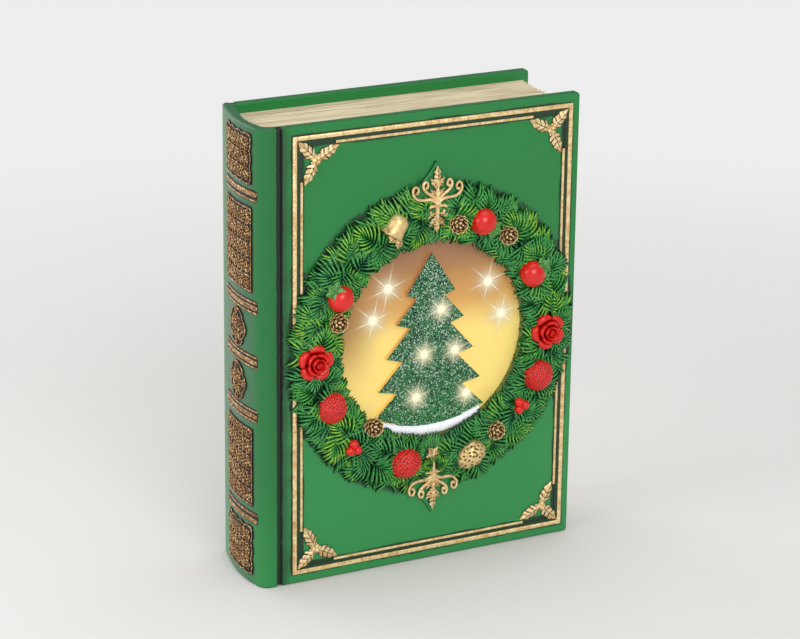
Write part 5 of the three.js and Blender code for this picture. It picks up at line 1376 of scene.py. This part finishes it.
def vine_work(low, high, front, back, across_count, up_count, reach=2.0):
    """Vine work in a field: a scroll in each cell, wound the other way from its neighbours and
    mirrored about the field's middle, with small leaves beside it. Cells further out than reach
    are left empty, by the sum of their shares of the way from the middle to the sides."""
    cell_y, cell_z = (back - front) / across_count, (high - low) / up_count
    column, row = (grid.ravel() for grid in np.meshgrid(np.arange(across_count), np.arange(up_count)))
    shares = together((column + 0.5) / across_count, (row + 0.5) / up_count)
    kept = np.abs(2 * shares - 1).sum(-1) < reach
    column, row, shares = column[kept], row[kept], shares[kept]
    centres = (front, low) + shares * (back - front, high - low)
    mirrored = np.where(column < across_count / 2, 1.0, -1.0)
    hand = mirrored * np.where(row % 2, 1, -1)
    start = np.where(mirrored > 0, 200.0, -20.0) * np.where(row % 2, 1, -1)
    radius = min(cell_y, cell_z) * 0.56
    path = spirals(centres, radius, start, hand)
    thin = np.linspace(0.42, 0.3, path.shape[1])
    thin[-3:] = (0.4, 0.48, 0.48)
    points, marks = bead(path, thin, 0.7, 0.42, around=7)
    parts = [solid_rings(on_spine(points), marks)]
    for offset, heading in ((35, 80), (150, 205), (265, 320)):
        turn, lean = np.radians(offset) * hand, np.radians(heading) * hand
        tips = centres + radius * 0.9 * together(np.cos(turn), np.sin(turn))
        ends = tips + radius * 0.9 * together(np.cos(lean), np.sin(lean))
        within = (ends[:, 0] > front) & (ends[:, 0] < back) & (ends[:, 1] > low) & (ends[:, 1] < high)
        within &= np.abs(2 * (ends - (front, low)) / (back - front, high - low) - 1).sum(-1) < reach
        parts.append(drop_leaves(tips[within], (heading * hand)[within], radius * 0.9, 0.5))
    return parts


def outline_plate(outline):
    """A thin dark plate inside a closed outline, with a gold bead along its edge. The plate's
    rings shrink from the outline to its middle, and its rim just outside the bead is a line of
    painted shadow."""
    middle = outline.mean(0)
    share = np.array([1.03, 1.03, 1.0, 0.97, 0.6, 0.3, 0.01])[:, None, None]
    lift = np.array([0.0, 0.1, 0.14, 0.42, 0.42, 0.42, 0.42])[:, None]
    flat = middle + (outline - middle)[None] * share
    rings = np.concatenate([flat, np.broadcast_to(lift[..., None], (*flat.shape[:2], 1))], -1)
    points, marks = bead((middle + (outline - middle) * 0.97)[None], 0.42, 0.6, 0.4, loop=True, around=7)
    plate = solid_rings(on_spine(rings)[None], np.ones(3))
    return [plate, solid_rings(on_spine(points), marks, loop=True)]


lobe_length = 9.0


def field_outline(low, high, front, back, scallop):
    """A rectangle walked round once, its sides in lobes of about one length. Between lobes they
    are pulled in by scallop, and elsewhere by scallop times one less the size of a sine."""
    corners = np.array([[front, low], [back, low], [back, high], [front, high], [front, low]])
    sides = []
    for first, second in zip(corners[:-1], corners[1:]):
        long = np.linalg.norm(second - first)
        lobes = round(long / lobe_length)
        s = np.linspace(0, 1, 12 * lobes, endpoint=False)[:, None]
        normal = np.array([second[1] - first[1], first[0] - second[0]]) / long
        wave = 1 - np.abs(np.sin(math.pi * s * lobes))
        sides.append(first + (second - first) * s - normal * scallop * wave)
    return np.concatenate(sides)


panel_fields = {
    1: (98.0, 126.2, 7, 6, 0.9), 2: (38.8, 85.9, 7, 10, 0.2), 3: (-83.6, -38.8, 7, 9, 0.2),
    4: (-124.7, -95.7, 7, 6, 1.3),
}
panel_front, panel_back = 8.9, 43.3
for number, (low, high, across_count, up_count, scallop) in panel_fields.items():
    margin = 1.0 + scallop
    parts = outline_plate(field_outline(low, high, panel_front, panel_back, scallop))
    parts += vine_work(low + margin, high - margin, panel_front + margin, panel_back - margin,
                       across_count, up_count)
    dress(build_piece(f"gold_panel_{number}", parts), antique,
          [f"spine_panel_{number}"])

medallion_rise = 15.4
medallion_half_height, medallion_half_width = 11.0, 10.7
spine_middle = (panel_front + panel_back) / 2


def medallion_outline(rise):
    """A pointed medallion: its half width falls from the middle to the tips and is cut by a
    wave into three lobes a side."""
    s = np.linspace(0, 1, 60)
    up = -medallion_half_height * np.cos(math.pi * s)
    lobes = 0.8 + 0.2 * np.abs(np.cos(math.pi * (s - 0.5) * 3))
    width = medallion_half_width * (np.sin(math.pi * s) ** 1.15 * lobes) + 0.2
    right = together(spine_middle + width, rise + up)
    left = together(spine_middle - width, rise + up)[::-1]
    return np.concatenate([right, left])


for name, rise in (("upper", medallion_rise), ("lower", -medallion_rise)):
    parts = outline_plate(medallion_outline(rise))
    parts += vine_work(rise - medallion_half_height, rise + medallion_half_height,
                       spine_middle - medallion_half_width, spine_middle + medallion_half_width,
                       5, 5, 0.92)
    dress(build_piece(f"gold_medallion_{name}", parts), antique,
          [f"spine_lozenge_{name}"])

# Battery box, door, switch and wiring
# A moulded black tray sits in the back board, with a hinged door over two cells and a slide
# switch beside it. Sprung nickel strips join the cells, and a thin lead runs to the lamps.

plastic, place = new_finish("box_plastic")
spark = cloud(place, 0.28, 2)
drawn = cloud(place, 18, 3)
lay_on(plastic, {
    "Base Color": blend(drawn, srgb(22, 22, 23), srgb(34, 34, 36)),
    "Roughness": 0.5 + 0.15 * spark, "Normal": relief(spark, 0.05),
})
clothe(plastic, "battery_box", "battery_door")

sleeve, place = new_finish("cell_can")
x, y, z = axes_of(place)
turned_lines = cloud(place, 0.25, 2, (1, 40, 40))
band = 1 - climb(abs(abs(x + 14) - 20), 3.5, 3.9)
silver = blend(turned_lines, srgb(166, 170, 176), srgb(206, 209, 213))
lay_on(sleeve, {
    "Base Color": blend(band, silver, srgb(58, 66, 78)),
    "Metallic": 0.85, "Roughness": 0.28 + 0.16 * turned_lines, "Normal": relief(turned_lines, 0.03),
})
clothe(sleeve, "battery_upper", "battery_lower")

nickel, place = new_finish("contact_steel")
smear = cloud(place, 3, 4)
lay_on(nickel, {
    "Base Color": blend(smear, srgb(186, 186, 182), srgb(216, 216, 212)), "Metallic": 1.0,
    "Roughness": 0.22 + 0.2 * smear, "Normal": relief(smear, 0.04),
})
clothe(nickel, "bridge_contact", "spring_contact")

knob, place = new_finish("slider_plastic")
speckle = cloud(place, 0.3, 2)
lay_on(knob, {
    "Base Color": blend(speckle, srgb(214, 214, 210), srgb(232, 232, 228)), "Roughness": 0.42,
    "Normal": relief(speckle, 0.04),
})
clothe(knob, "switch_slider")

laminate, place = new_finish("circuit_board")
fibre = cloud(place, 0.5, 2, (1, 1, 8))
lay_on(laminate, {
    "Base Color": blend(fibre, srgb(24, 78, 40), srgb(48, 112, 58)), "Roughness": 0.45,
    "Normal": relief(fibre, 0.05),
})
clothe(laminate, "switch_board")

insulation, place = new_finish("lead_insulation")
grime = cloud(place, 7, 4)
lay_on(insulation, {
    "Base Color": blend(grime, srgb(196, 194, 184), srgb(224, 222, 212)), "Roughness": 0.48,
    "Normal": relief(cloud(place, 1.0, 2), 0.04),
})
clothe(insulation, "lamp_lead")
